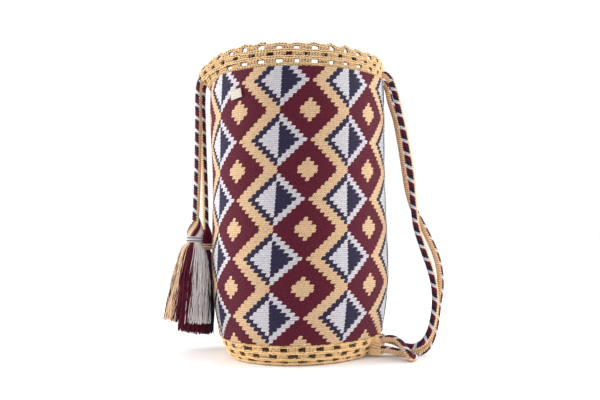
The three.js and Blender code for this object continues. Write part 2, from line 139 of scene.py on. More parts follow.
# %% Camera
CAMERA_DISTANCE = 0.936
CAMERA_HEIGHT = 0.181
CAMERA_LENS = 40.5
CAMERA_SENSOR = 36
CAMERA_SHIFT = 0.035
CAMERA_ROLL = 0.9


def in_scene(name, data):
    """A new object in the scene."""
    piece = bpy.data.objects.new(name, data)
    bpy.context.collection.objects.link(piece)
    return piece


camera = in_scene("camera", bpy.data.cameras.new("camera"))
camera.data.lens = CAMERA_LENS
camera.data.sensor_width = CAMERA_SENSOR
camera.data.shift_y = CAMERA_SHIFT
camera.location = (0, -CAMERA_DISTANCE, CAMERA_HEIGHT)
camera.rotation_euler = (math.radians(90), math.radians(CAMERA_ROLL), 0)
bpy.context.scene.camera = camera
print("camera at", tuple(camera.location))

# %% [markdown]
# ## Shader sums as Python
# A finish is a tree of nodes, and a pattern needs dozens of them. Adding each by hand hides the sum that
# they stand for, so a small class wraps one socket and lets sums be written as Python.


# %% Wires
class Wire:
    """One output socket. Arithmetic on it adds Math nodes."""

    def __init__(self, finish, socket):
        self.finish, self.socket = finish, socket

    def maths(self, operation, *values):
        return self.finish.maths(operation, self, *values)

    def __add__(self, other):
        return self.maths("ADD", other)

    __radd__ = __add__

    def __sub__(self, other):
        return self.maths("SUBTRACT", other)

    def __rsub__(self, other):
        return self.finish.maths("SUBTRACT", other, self)

    def __mul__(self, other):
        return self.maths("MULTIPLY", other)

    __rmul__ = __mul__

    def __truediv__(self, other):
        return self.maths("DIVIDE", other)

    def __rtruediv__(self, other):
        return self.finish.maths("DIVIDE", other, self)

    def __mod__(self, other):
        return self.maths("FLOORED_MODULO", other)

    def __lt__(self, other):
        return self.maths("LESS_THAN", other)

    def __gt__(self, other):
        return self.maths("GREATER_THAN", other)

    def __abs__(self):
        return self.maths("ABSOLUTE")

    def power(self, exponent):
        return self.maths("POWER", exponent)

    def floor(self):
        return self.maths("FLOOR")

    def fraction(self):
        return self.maths("FRACT")

    def sine(self):
        return self.maths("SINE")


# %% [markdown]
# A second class holds the material of one yarn or cloth. One of its methods adds any node from its type,
# its settings and the values of its sockets, and the others are short names for the nodes that the finishes
# share.


# %% Finishes
class Finish:
    """A material whose surface is one Principled shader."""

    def __init__(self, name, **constants):
        self.material = bpy.data.materials.new(name)
        self.material.use_nodes = True
        self.tree = self.material.node_tree
        self.shader = self.tree.nodes["Principled BSDF"]
        for socket, value in constants.items():
            self.shader.inputs[socket.replace("_", " ")].default_value = value

    def put(self, socket, value):
        if isinstance(value, Wire):
            self.tree.links.new(value.socket, socket)
        else:
            socket.default_value = value

    def node(self, kind, settings=None, inputs=None, output=0):
        node = self.tree.nodes.new(kind)
        for name, value in (settings or {}).items():
            setattr(node, name, value)
        for key, value in (inputs or {}).items():
            self.put(node.inputs[key], value)
        return Wire(self, node.outputs[output])

    def maths(self, operation, *values):
        return self.node("ShaderNodeMath", {"operation": operation}, dict(enumerate(values)))

    def mix(self, factor, first, second):
        return self.node("ShaderNodeMix", {"data_type": "RGBA"}, {0: factor, 6: first, 7: second}, 2)

    def split(self, vector):
        node = self.node("ShaderNodeSeparateXYZ", None, {0: vector}).socket.node
        return [Wire(self, socket) for socket in node.outputs]

    def place(self):
        return self.node("ShaderNodeTexCoord", None, None, "Object")

    def attribute(self, name):
        return self.node("ShaderNodeAttribute", {"attribute_name": name}, None, "Fac")

    def stitches(self):
        """The piece's own map, in stitches."""
        return self.split(self.node("ShaderNodeUVMap", {"uv_map": "stitches"}))[:2]

    def noise(self, scale, detail=2.0):
        inputs = {"Vector": self.place(), "Scale": scale, "Detail": detail}
        return self.node("ShaderNodeTexNoise", None, inputs)

    def colour(self, value):
        self.put(self.shader.inputs["Base Color"], value)

    def roughness(self, grain, least, spread=0.2):
        self.put(self.shader.inputs["Roughness"], grain * spread + least)

    def bump(self, height, distance):
        inputs = {"Height": height, "Distance": distance}
        self.put(self.shader.inputs["Normal"], self.node("ShaderNodeBump", None, inputs))

    def report(self):
        print(self.material.name, "has", len(self.tree.nodes), "nodes")


# %% [markdown]
# ## The yarn's colours
# The bag is worked in a few cotton yarns: tan, maroon, navy, white and grey. Cotton is matt with a faint
# sheen, so all the finishes share three constants. Colours are typed as a screen shows them and turned into
# the linear values that a shader adds up in. Tan has several tones, because the bands, the cords and the
# tassels catch the light differently.


# %% Yarn colours
def linear(red, green, blue):
    """A shader colour from the 0 to 255 values of a screen colour."""
    def one(value):
        share = value / 255
        return share / 12.92 if share <= 0.04045 else ((share + 0.055) / 1.055) ** 2.4
    return (one(red), one(green), one(blue), 1.0)


YARN = {"Sheen_Weight": 0.05, "Sheen_Roughness": 0.5, "Specular_IOR_Level": 0.12}
TAN = linear(222, 186, 146)
DEEP_TAN = linear(204, 164, 124)
PALE_TAN = linear(246, 209, 165)
CREAM_TAN = linear(255, 224, 172)
WARM_TAN = linear(255, 220, 180)
# The next two tones are the foot's, painted lighter as painted light from the floor below.
FLOOR_LIT_TAN = linear(255, 210, 156)
FLOOR_LIT_PALE_TAN = linear(255, 222, 166)
MAROON = linear(94, 24, 44)
DEEP_MAROON = linear(98, 12, 40)
NAVY = linear(46, 42, 70)
DEEP_NAVY = linear(38, 34, 58)
WHITE = linear(212, 208, 214)
GREY = linear(232, 225, 224)
CREAM = linear(216, 206, 192)
DEEP_CREAM = linear(196, 180, 164)
# A near black for painted shade in the grooves of the wall and the cords and between tassel strands; it also
# gives small random tints.
SHADE_AND_TINT_DARK = (0.02, 0.012, 0.012, 1.0)
# A dark tan for painted shade, in the gaps between stitches and between the tab's coils.
TAN_SHADE = linear(72, 44, 26)
# A mid tan for painted shade in the grooves of a cord's tan half.
CORD_GROOVE_SHADE = linear(164, 122, 86)
print("tan is", TAN, "in linear values")

# %% [markdown]
# ## Grids of yarn
# The wall, the base and the cords are all grids of rings. One helper joins the rings into quads and maps
# each corner to its own stitch, so that a pattern follows the work round the bag and along a cord. Wrapping
# a picture would stretch where the bag swells.


# %% Ring grids
def smooth_piece(name, mesh):
    """A mesh put in the scene with smooth faces."""
    mesh.polygons.foreach_set("use_smooth", np.ones(len(mesh.polygons), bool))
    print(name, len(mesh.polygons), "faces")
    return in_scene(name, mesh)


def ring_grid(name, rings, across, along, finish, closed=False):
    """A mesh from rings (rows, columns, 3), with corner maps across[columns + 1] and along[rows]."""
    rows, columns = rings.shape[:2]
    index = np.arange(rows * columns).reshape(rows, columns)
    bands = rows if closed else rows - 1
    above = np.roll(index, -1, 0)
    quads = [index, np.roll(index, -1, 1), np.roll(above, -1, 1), above]
    faces = np.stack([corner[:bands] for corner in quads], -1).reshape(-1, 4).tolist()
    left, right = (np.tile(edge, (bands, 1)) for edge in (across[:-1], across[1:]))
    low, high = (np.repeat(edge[:, None], columns, 1) for edge in (along[:bands], along[1 : bands + 1]))
    corners = np.stack([left, low, right, low, right, high, left, high], -1).reshape(-1)
    caps = [] if closed else [index[0][::-1].tolist(), index[-1].tolist()]
    mesh = bpy.data.meshes.new(name)
    mesh.from_pydata(rings.reshape(-1, 3).tolist(), [], faces + caps)
    layer = mesh.uv_layers.new(name="stitches")
    values = np.zeros(2 * len(mesh.loops))
    values[: len(corners)] = corners
    layer.data.foreach_set("uv", values)
    mesh.materials.append(finish.material)
    return smooth_piece(name, mesh)


# %% [markdown]
# ## Cords
# The drawcord and the strap are crocheted tubes, half tan and half in slanting stripes. Their routes are
# the solids' own, in millimetres, so that the yarn lies where the solids do. Simulated cords would hang
# truly but leave the solids, so the same smooth curve is drawn through the same points.

# %% Cord routes
FRONT_TAIL_ROUTE = [
    (-139, -36, 186.3), (-137.2, -32, 225), (-135.8, -26, 280), (-135.5, -20, 328), (-135.5, -15.5, 355),
    (-132.5, -13.5, 374), (-121, -14.5, 385.3),
]
BACK_TAIL_ROUTE = [
    (-135, 29, 174.3), (-135, 27, 225), (-135.5, 23, 280), (-135.5, 19, 328), (-135, 16, 355),
    (-132, 14, 374), (-121, 15, 385.3),
]
FRONT_STRAND_ROUTE = [
    (94, -33, 21.5), (103, -36, 21.5), (112, -39, 21.5), (122, -43, 19.5), (134, -48, 14.5), (147, -51, 13.5),
    (158, -51.5, 18.5), (166.5, -50.5, 29.5), (172.5, -48.5, 46), (176.5, -45.5, 68), (176.8, -42, 90),
    (172.5, -38, 114), (164, -34, 142), (156, -31, 172), (153, -28.5, 205), (151, -27, 240), (147, -26, 270),
    (142, -25, 301), (136.5, -24, 328), (131.5, -23, 352), (126.5, -22, 367),
]
RIM_PASS_ROUTE = [(118, -20, 377.5), (109.5, -14, 376), (106.5, 0, 375.5), (109.5, 14, 376), (118, 20, 377.5)]
BACK_STRAND_ROUTE = [
    (126, 18.5, 367), (129.5, 14, 348), (136.5, 10, 321), (141.5, 6, 290), (146, 1, 253), (149.5, -5, 222),
    (155, -11, 198), (164, -14.5, 178), (174, -18, 156), (182.5, -22, 134), (187, -26, 112), (187, -30, 90),
    (182.5, -34, 66), (178, -38.5, 42), (172, -41.5, 23), (164.5, -43, 10.5), (155, -44, 5),
    (143, -42.5, 4.8), (130, -40, 5), (117, -36.5, 7.5), (102, -33, 9.5), (93, -30, 9.5),
]
HITCH_ROUTE = [
    (90, -41, 21.5), (99, -45, 21.5), (108, -49, 24), (116, -55, 26), (123, -62, 24.5), (129, -69.5, 19.5),
    (134, -76.5, 11.5), (138.5, -80.5, 5.8), (142.8, -76.5, 4.8), (141.5, -69.5, 5), (135, -64, 6.5),
    (126, -58.5, 8.5), (116, -54, 10), (107, -49, 10), (98, -44.5, 9.5), (89, -40, 9.5),
]
FRONT_PIVOT = np.array([-139, -36, 175])
BACK_PIVOT = np.array([-135, 29, 163])
RUN_RADIUS = 106.4
RUN_HEIGHT = 385.3
RUN_BEARINGS = np.arange(-70, 251, 20)
run_route = (on_bag(RUN_BEARINGS, RUN_RADIUS, RUN_HEIGHT) / MM).tolist()
print("the drawcord's run has", len(run_route), "points inside the rim")

# %% [markdown]
# A centripetal curve goes through every point of a route without looping where the points lie close. The
# whole drawcord is one curve and the whole strap another, so that their parts meet smoothly, and each
# solid's cord is a stretch of it.

# %% Cord curves
CURVE_STEPS = 60
LEAST_SPAN = 1e-9


def cord_curve(route):
    """A centripetal curve in metres through a route in millimetres, with CURVE_STEPS points for each span."""
    points = np.array(route) * MM
    padded = np.vstack([2 * points[0] - points[1], points, 2 * points[-1] - points[-2]])
    spans = []
    for p0, p1, p2, p3 in zip(padded, padded[1:], padded[2:], padded[3:]):
        pairs = ((p0, p1), (p1, p2), (p2, p3))
        d0, d1, d2 = (max(np.linalg.norm(b - a), LEAST_SPAN) ** 0.5 for a, b in pairs)
        start = ((p1 - p0) / d0 - (p2 - p0) / (d0 + d1) + (p2 - p1) / d1) * d1
        stop = ((p2 - p1) / d1 - (p3 - p1) / (d1 + d2) + (p3 - p2) / d2) * d1
        w = np.linspace(0, 1, CURVE_STEPS, endpoint=False)[:, None]
        cubic = (2 * p1 - 2 * p2 + start + stop) * w**3
        spans.append(cubic + (3 * p2 - 3 * p1 - 2 * start - stop) * w**2 + start * w + p1)
    return np.vstack([*spans, points[-1:]])


def stretch(curve, first, last):
    """The part of a curve between two points of its route."""
    return curve[first * CURVE_STEPS : last * CURVE_STEPS + 1]


def evenly(points, step):
    """Points along a line at equal steps, and how far along each is."""
    reach = np.concatenate([[0], np.cumsum(np.linalg.norm(np.diff(points, axis=0), axis=1))])
    count = max(2, round(reach[-1] / step))
    marks = np.linspace(0, reach[-1], count + 1)
    return np.stack([np.interp(marks, reach, points[:, i]) for i in range(3)], -1), marks


DRAWCORD = cord_curve([*FRONT_TAIL_ROUTE, *run_route, *BACK_TAIL_ROUTE[::-1]])
STRAP = cord_curve([*FRONT_STRAND_ROUTE, *RIM_PASS_ROUTE, *BACK_STRAND_ROUTE])
HITCH = cord_curve(HITCH_ROUTE)
TAIL_TOP = len(FRONT_TAIL_ROUTE) - 2
TAIL_BACK = len(FRONT_TAIL_ROUTE) + len(run_route) + 1
DRAWCORD_END = TAIL_BACK + len(BACK_TAIL_ROUTE) - 2
PASS_START = len(FRONT_STRAND_ROUTE) - 1
PASS_END = len(FRONT_STRAND_ROUTE) + len(RIM_PASS_ROUTE)
CORD_LINES = {
    "drawcord_tail_front": np.vstack([stretch(DRAWCORD, 0, TAIL_TOP)[::-1], FRONT_PIVOT * MM]),
    "drawcord_run": stretch(DRAWCORD, TAIL_TOP, TAIL_BACK),
    "drawcord_tail_back": np.vstack([stretch(DRAWCORD, TAIL_BACK, DRAWCORD_END), BACK_PIVOT * MM]),
    "strap_front_strand": stretch(STRAP, 1, PASS_START),
    "strap_rim_pass": stretch(STRAP, PASS_START, PASS_END),
    "strap_back_strand": stretch(STRAP, PASS_END, PASS_END + len(BACK_STRAND_ROUTE) - 2)[::-1],
    "strap_hitch_loop": stretch(HITCH, 1, len(HITCH_ROUTE) - 2),
}
for name, line in CORD_LINES.items():
    print(name, "is", round(float(evenly(line, MM)[1][-1]), 4), "m long")

# %% [markdown]
# The finish of a cord reads its map: across goes once round the cord, and along counts stripes. The striped
# half is cut by a saw-tooth border, because the colours change from stitch to stitch. Slanting grooves
# stand for the rounds of crochet, which are too small to model one by one; they are a bump and painted shade.

# %% Cord finish
STRIPE_PERIOD = 18 * MM
STRIPE_SLANT = 1.05
WHITE_TO, NAVY_TO = 0.25, 0.6
STRIPED_FROM, STRIPED_TO = 0.02, 0.52
BORDER_TEETH = 5
BORDER_DEPTH = 0.1
STITCHES_PER_STRIPE = 6
STITCHES_ROUND = 3
CORD_SHADE = 0.35
CORD_GRAIN = 900.0
cord_finish = Finish("striped_cord", **YARN)
across, along = cord_finish.stitches()
tooth = abs((along * BORDER_TEETH).fraction() - 0.5) * BORDER_DEPTH
striped = (across > tooth + STRIPED_FROM) * (across < STRIPED_TO - tooth)
stripe = (along + across * STRIPE_SLANT).fraction()
yarn = cord_finish.mix(stripe < WHITE_TO, MAROON, WHITE)
yarn = cord_finish.mix((stripe > WHITE_TO) * (stripe < NAVY_TO), yarn, DEEP_NAVY)
fleck = cord_finish.noise(CORD_GRAIN)
# Painted shade: the slanting wave darkens both halves in the grooves between stitches.
slant = ((along * STITCHES_PER_STRIPE + across * STITCHES_ROUND) * math.tau).sine() * 0.5 + 0.5
tan_yarn = cord_finish.mix(fleck * 0.3 + slant * 0.8, CORD_GROOVE_SHADE, PALE_TAN)
shaded_stripes = cord_finish.mix(CORD_SHADE - slant * CORD_SHADE, yarn, SHADE_AND_TINT_DARK)
cord_finish.colour(cord_finish.mix(striped, tan_yarn, shaded_stripes))
cord_finish.roughness(fleck, least=0.75)
cord_finish.bump(slant + fleck * 0.5, distance=0.5 * MM)
cord_finish.report()

# %% [markdown]
# Each tube is swept with a frame that is carried along the curve without twisting, which keeps the striped
# half on one side, as the photograph shows it. The direction that the stripes face at a cord's first end is
# typed for each cord. The same slanting wave as in the finish gives the tube a low relief.

# %% Cord tubes
CORD_RADIUS = 4.5 * MM
CORD_SIDES = 20
CORD_STEP = 0.9 * MM
STITCH_LENGTH = 3 * MM
STITCH_RELIEF = 0.32 * MM
STRIPED_MIDDLE = 0.27
CORD_FLOOR = 0.2 * MM
STRIPED_SIDES = {
    "drawcord_tail_front": (-1, -0.45, 0),
    "drawcord_run": (-1, 0, 0),
    "drawcord_tail_back": (1, -0.1, 0),
    "strap_front_strand": (-0.6, -0.4, 1),
    "strap_rim_pass": (0, 0, 1),
    "strap_back_strand": (0.4, -0.1, -1),
    "strap_hitch_loop": (0, 0.5, 1),
}


def unit(vectors):
    return vectors / np.linalg.norm(vectors, axis=1)[:, None]


def unit_rings(turn, first, second):
    """Rings of unit radius in the planes of two rows of cross directions."""
    return np.cos(turn)[None, :, None] * first[:, None] + np.sin(turn)[None, :, None] * second[:, None]


def carried_frames(points, side):
    """Two cross directions carried along points without twist, the first near to side."""
    tangents = unit(np.gradient(points, axis=0))
    normal = np.asarray(side, float)
    normals = []
    for tangent in tangents:
        normal = normal - tangent * normal.dot(tangent)
        normal = normal / np.linalg.norm(normal)
        normals.append(normal)
    normals = np.array(normals)
    return normals, np.cross(tangents, normals)


def cord_tube(name):
    points, marks = evenly(CORD_LINES[name], CORD_STEP)
    first, second = carried_frames(points, STRIPED_SIDES[name])
    shares = np.arange(CORD_SIDES) / CORD_SIDES
    turn = math.tau * (shares - STRIPED_MIDDLE)
    wave = np.sin(math.tau * (marks[:, None] / STITCH_LENGTH + STITCHES_ROUND * shares[None]))
    reach = CORD_RADIUS + STITCH_RELIEF * wave
    rings = points[:, None] + reach[..., None] * unit_rings(turn, first, second)
    rings[..., 2] = np.maximum(rings[..., 2], CORD_FLOOR)
    around = np.arange(CORD_SIDES + 1) / CORD_SIDES
    piece = ring_grid(name + "_yarn", rings, around, marks / STRIPE_PERIOD, cord_finish)
    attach(piece, "bag")
    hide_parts(name)
    return piece, points


cords = {name: cord_tube(name) for name in CORD_LINES}

# %% [markdown]
# ## Tapestry wall
# The wall is tapestry crochet, worked in rounds with the unused yarns carried inside, so its pattern is
# made of whole stitches: eight repeats of thirty-seven, in about a hundred and forty rounds. A picture of
# it would blur close up, so the pattern is counted out from a stitch's column and round. First comes the
# place of a stitch in its repeat. The columns drift as the work leans, and are drawn together a little on
# the tassels' side.

# %% Where a stitch lies in its repeat
REPEATS = 8
REPEAT_STITCHES = 37
ROUND_STITCHES = REPEATS * REPEAT_STITCHES
ROUNDS = 141
MIDDLE_ROUND = 75
REPEAT_ROUNDS = 30
JOINT_ROUND = 117
STEP_ROUNDS = 2
COLUMN_DRIFT = 0.0394
FIRST_DIAMOND = 13.85
PULL_MIDDLE = -2.12
PULL_RISE = 3.33
PULL_TURN = math.radians(-25.6)
GATHER = 7
GATHER_TURN = math.radians(-175)
GATHER_POWER = 12
TOOTH_LEAN = 0.3
STITCH_WOBBLE = 0.3
wall_finish = Finish("tapestry_yarn", **YARN)
across, along = wall_finish.stitches()
pull = (along / MIDDLE_ROUND - 1) * PULL_RISE + PULL_MIDDLE
turned = across * (math.tau / ROUND_STITCHES)
pulled = (turned + PULL_TURN).sine() * pull
gathered = ((turned + GATHER_TURN).sine() * 0.5 + 0.5).power(GATHER_POWER) * GATHER
wobble = (along.fraction() * math.pi).sine() * STITCH_WOBBLE
tooth = ((along - JOINT_ROUND) / STEP_ROUNDS).fraction() * 2 - 1
drift = along * COLUMN_DRIFT + tooth * TOOTH_LEAN + wobble
here = (across + pulled - gathered + FIRST_DIAMOND - drift) % REPEAT_STITCHES
step = (((along.floor() - JOINT_ROUND) % REPEAT_ROUNDS) / STEP_ROUNDS).floor()
print("the wall has", ROUND_STITCHES, "stitches in each of", ROUNDS, "rounds")

# %% [markdown]
# The pattern is a stepped diamond split down its middle into a white and a navy half, each with an edge of
# the other colour, a tan zigzag beside it and a tan cross between two diamonds. Two rounds make a step, and
# each colour is a test of how far a stitch lies from the diamond's middle. The teeth are rounded a little,
# because a stitch has no sharp corner.

# %% Colours of the pattern
WIDEST_STEP = 8
DIAMOND_STEPS = 7
JOINT_STEPS = 1.5
STEP_STITCHES = 2
EDGE_STITCHES = 4
ZIGZAG_STITCHES = 7
CROSS_AT = 15
CROSS_ARM = 5
CROSS_SHORT_STEP, CROSS_TIP_STEP = 5.5, 4.5
CROSS_SOFT = 0.5
TOOTH_ROUND = 0.7
TOOTH_POWER = 4
rounding = abs(tooth).power(TOOTH_POWER) * TOOTH_ROUND
from_middle = abs(step - WIDEST_STEP)
in_diamond = step > JOINT_STEPS
half = in_diamond * (DIAMOND_STEPS - from_middle) * STEP_STITCHES - rounding
to_next = REPEAT_STITCHES - here
right_half = here < half
left_half = to_next < half
right_white = right_half * (here > half - EDGE_STITCHES)
left_navy = left_half * (to_next > half - EDGE_STITCHES)
zigzag = (1 - left_half) * (to_next < half + ZIGZAG_STITCHES)
short_arm = (from_middle > CROSS_SHORT_STEP) * 2 + (from_middle > CROSS_TIP_STEP)
arm = (step < JOINT_STEPS) * CROSS_ARM + in_diamond * short_arm
cross = abs(here - CROSS_AT) < arm - rounding * CROSS_SOFT
colour = wall_finish.mix(zigzag.maths("MAXIMUM", cross), MAROON, TAN)
for where, yarn in ((right_half, NAVY), (left_half, WHITE), (right_white, WHITE), (left_navy, NAVY)):
    colour = wall_finish.mix(where, colour, yarn)
wall_finish.report()

# %% [markdown]
# Up close each stitch is a V of two legs, with a groove between one round and the next. Some forty thousand
# stitches are too many to model one by one, so a bump follows the V, painted shade darkens each round's edge
# in the groove, and every stitch has a tint of its own, as no two loops of cotton take the light alike.

# %% Stitches of the wall
LOT_TINT = 0.12
GROOVE_SHADE = 0.42
GROOVE_POWER = 3
LEG_SLANT = 0.7
WALL_GRAIN = 1600.0
spread = wall_finish.node("ShaderNodeCombineXYZ", None, {0: here.floor(), 1: along.floor()})
lot = wall_finish.node("ShaderNodeTexWhiteNoise", {"noise_dimensions": "2D"}, {"Vector": spread})
# Painted shade: each round darkens towards its edges, where the groove between rounds lies.
painted_groove_shade = (abs(along.fraction() - 0.5) * 2).power(GROOVE_POWER)
wall_finish.colour(wall_finish.mix(lot * LOT_TINT + painted_groove_shade * GROOVE_SHADE, colour, SHADE_AND_TINT_DARK))
wall_finish.roughness(lot, least=0.78, spread=0.15)
leg = abs(here.fraction() - 0.5)
chevron = ((along + leg * LEG_SLANT) * math.tau).sine()
fibre = wall_finish.noise(WALL_GRAIN, detail=3.0)
wall_finish.bump(chevron * 0.4 - leg * leg * 2 + fibre * 0.35, distance=0.55 * MM)
wall_finish.report()

# %% [markdown]
# The wall's mesh has a column for every stitch and a ridge for every round, which gives the outline its
# fine teeth. Soft cloth doesn't stand perfectly round, so two slow waves dent it by about a millimetre.
# Plainer rows behind it are its inner side.

# %% Wall mesh
WALL_THICKNESS = 3.5
WALL_RELIEF = 0.8
LINING_ROWS = 8
SAG = 0.7
SAG_WAVES = ((1, 3, 7, 0), (0.6, 5, -11, 1))
wall_rounds = np.arange(0, ROUNDS + 0.25, 0.5)
lining_rounds = np.linspace(ROUNDS, 0, LINING_ROWS)
wall_turns = np.arange(ROUND_STITCHES) * 360 / ROUND_STITCHES
wall_share = (wall_rounds / ROUNDS)[:, None]
outer_heights = WALL_BOTTOM + wall_rounds / ROUNDS * WALL_HEIGHT
lining_heights = WALL_BOTTOM + lining_rounds / ROUNDS * WALL_HEIGHT
ridge = WALL_RELIEF * (np.arange(len(wall_rounds)) % 2)
turn = np.radians(wall_turns)[None]
waves = sum(
    size * np.sin(around * turn + rise * wall_share + start) for size, around, rise, start in SAG_WAVES)
sag = SAG * np.sin(math.pi * wall_share) * waves
outer_radii = (wall_radius(outer_heights) + ridge)[:, None] + sag
lining_radii = (wall_radius(lining_heights) - WALL_THICKNESS)[:, None]
outer = on_bag(wall_turns[None], outer_radii, outer_heights[:, None])
lining = on_bag(wall_turns[None], lining_radii, lining_heights[:, None])
wall_along = np.concatenate([wall_rounds, lining_rounds, wall_rounds[:1]])
wall_across = np.arange(ROUND_STITCHES + 1.0)
wall_rings = np.concatenate([outer, lining])
wall = ring_grid("wall_yarn", wall_rings, wall_across, wall_along, wall_finish, closed=True)
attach(wall, "bag")
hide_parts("wall")

# %% [markdown]
# ## Trees of Geometry Nodes
# Openwork and tassels repeat one thing hundreds of times, so trees of Geometry Nodes set them out. Building
# a tree by hand in the editor would not be repeatable, so two helpers make it from lists: its named inputs,
# its nodes and its links. A third marks the points that a tree reads, and a fourth turns what the tree
# makes into a plain mesh with no modifier.


# %% Tree helpers
def new_tree(name, inputs, kinds):
    """A tree with named inputs, with the key of each input and the nodes that it is made of."""
    tree = bpy.data.node_groups.new(name, "GeometryNodeTree")
    keys = {}
    for title, kind in inputs.items():
        socket = tree.interface.new_socket(title, in_out="INPUT", socket_type="NodeSocket" + kind)
        keys[title] = socket.identifier
    tree.interface.new_socket("Geometry", in_out="OUTPUT", socket_type="NodeSocketGeometry")
    ends = {"in": "NodeGroupInput", "out": "NodeGroupOutput"}
    return tree, keys, {key: tree.nodes.new(kind) for key, kind in {**ends, **kinds}.items()}


def link(tree, made, links):
    """Links between nodes, each as (node, output, node, input)."""
    for source, output, target, socket in links:
        tree.links.new(made[source].outputs[output], made[target].inputs[socket])
    print(tree.name, "has", len(tree.nodes), "nodes and", len(tree.links), "links")


def mark(mesh, name, values):
    """A number or a vector for each point of a mesh."""
    values = np.asarray(values, float)
    kind, field = ("FLOAT", "value") if values.ndim == 1 else ("FLOAT_VECTOR", "vector")
    mesh.attributes.new(name, kind, "POINT").data.foreach_set(field, values.reshape(-1))


def grown(name, mesh, tree, keys, inputs):
    """What a tree makes of a mesh, as a piece with no modifier."""
    holder = in_scene(name, mesh)
    modifier = holder.modifiers.new(tree.name, "NODES")
    modifier.node_group = tree
    for title, value in inputs.items():
        modifier[keys[title]] = value
    graph = bpy.context.evaluated_depsgraph_get()
    plain = bpy.data.meshes.new_from_object(holder.evaluated_get(graph))
    holder.modifiers.clear()
    bpy.data.objects.remove(holder)
    return smooth_piece(name, plain)


# %% [markdown]
# ## Stitches on points
# Openwork is the same stitch over and over: upright in blocks between the eyelets, and lying along each
# round. A mesh of bare points carries each stitch's direction, outward side and size, and one tree sets a
# stitch on every point. That is lighter than modelling each and easy to change.

# %% The stitch tree
POINT_VECTORS = ("along", "outward", "size")
STITCH_TREE, STITCH_KEYS, made = new_tree(
    "stitches_on_points",
    {"Points": "Geometry", "Stitch": "Object", "Finish": "Material", "Yarn scale": "Float"},
    {
        **{key: "GeometryNodeInputNamedAttribute" for key in POINT_VECTORS},
        "info": "GeometryNodeObjectInfo", "first": "FunctionNodeAlignRotationToVector",
        "second": "FunctionNodeAlignRotationToVector", "scaled": "ShaderNodeVectorMath",
        "set": "GeometryNodeInstanceOnPoints", "real": "GeometryNodeRealizeInstances",
        "paint": "GeometryNodeSetMaterial",
    },
)
for key in POINT_VECTORS:
    made[key].data_type = "FLOAT_VECTOR"
    made[key].inputs["Name"].default_value = key
made["first"].axis = "Z"
made["second"].axis = "Y"
made["second"].pivot_axis = "Z"
made["scaled"].operation = "SCALE"
link(STITCH_TREE, made, (
    ("in", "Stitch", "info", "Object"), ("in", "Points", "set", "Points"),
    ("info", "Geometry", "set", "Instance"), ("along", "Attribute", "first", "Vector"),
    ("first", "Rotation", "second", "Rotation"), ("outward", "Attribute", "second", "Vector"),
    ("second", "Rotation", "set", "Rotation"), ("size", "Attribute", "scaled", "Vector"),
    ("in", "Yarn scale", "scaled", "Scale"), ("scaled", "Vector", "set", "Scale"),
    ("set", "Instances", "real", "Geometry"), ("real", "Geometry", "paint", "Geometry"),
    ("in", "Finish", "paint", "Material"), ("paint", "Geometry", "out", "Geometry"),
))


def stitched(name, groups, finish):
    """One piece from groups of (stitch object, places, along, outward, sizes)."""
    parts = []
    for number, (stitch, places, *vectors) in enumerate(groups):
        mesh = bpy.data.meshes.new(f"{name}_points")
        mesh.from_pydata(np.asarray(places).tolist(), [], [])
        for key, values in zip(POINT_VECTORS, vectors):
            mark(mesh, key, values)
        inputs = {"Stitch": stitch, "Finish": finish.material, "Yarn scale": 1.0}
        parts.append(grown(f"{name}_{number}", mesh, STITCH_TREE, STITCH_KEYS, inputs))
    with bpy.context.temp_override(active_object=parts[0], selected_editable_objects=parts):
        bpy.ops.object.join()
    parts[0].name = name
    return parts[0]


# %% [markdown]
# A crochet stitch is a V of two bent legs of yarn, so the shape that is set out is two short tubes. Behind
# a block of stitches lies a plain dark box, which is painted shade for the gaps in thick crochet. Each point
# of both says how hollow it is, and the finish paints shade on it by that.

# %% Stitch shapes
HOLLOW_TOP = 0.45
HOLLOW_FADE = 0.25


def tube_parts(points, radius, sides, start):
    """Vertices and faces of a tube along points."""
    tangents = unit(np.gradient(points, axis=0))
    side = unit(np.cross(tangents, (0, 1, 0)))
    rings = unit_rings(math.tau * np.arange(sides) / sides, side, np.cross(tangents, side))
    index = start + np.arange(len(points) * sides).reshape(len(points), sides)
    faces = []
    for low, high in zip(index, index[1:]):
        faces += [[low[c], low[(c + 1) % sides], high[(c + 1) % sides], high[c]] for c in range(sides)]
    faces += [index[0][::-1].tolist(), index[-1].tolist()]
    return (points[:, None] + radius * rings).reshape(-1, 3), faces


def stitch_shape(name, vertices, faces, hollow_shade):
    """A stitch to be set out on points. Where it is marked as hollow it is painted darker, as shade."""
    mesh = bpy.data.meshes.new(name)
    mesh.from_pydata(vertices.tolist(), [], [[int(i) for i in face] for face in faces])
    mark(mesh, "hollow_shade", hollow_shade)
    print(name, len(mesh.polygons), "faces")
    return bpy.data.objects.new(name, mesh)


def looped_shape(name, lines, radius, sides):
    """A stitch made of one bent length of yarn for each line."""
    vertices, faces = [], []
    for line in lines:
        new, joined = tube_parts(line, radius, sides, sum(map(len, vertices)))
        vertices.append(new)
        faces += joined
    vertices = np.vstack(vertices)
    # The inner side of each stitch is marked hollow, for painted shade.
    outward = (vertices[:, 1] - vertices[:, 1].min()) / np.ptp(vertices[:, 1])
    return stitch_shape(name, vertices, faces, np.clip((HOLLOW_TOP - outward) / HOLLOW_FADE, 0, 1))


# %% [markdown]
# The sizes of the V are shares of a stitch, which is one unit wide, deep and tall until a point scales it.
# The legs start apart, open upwards and bow outwards.

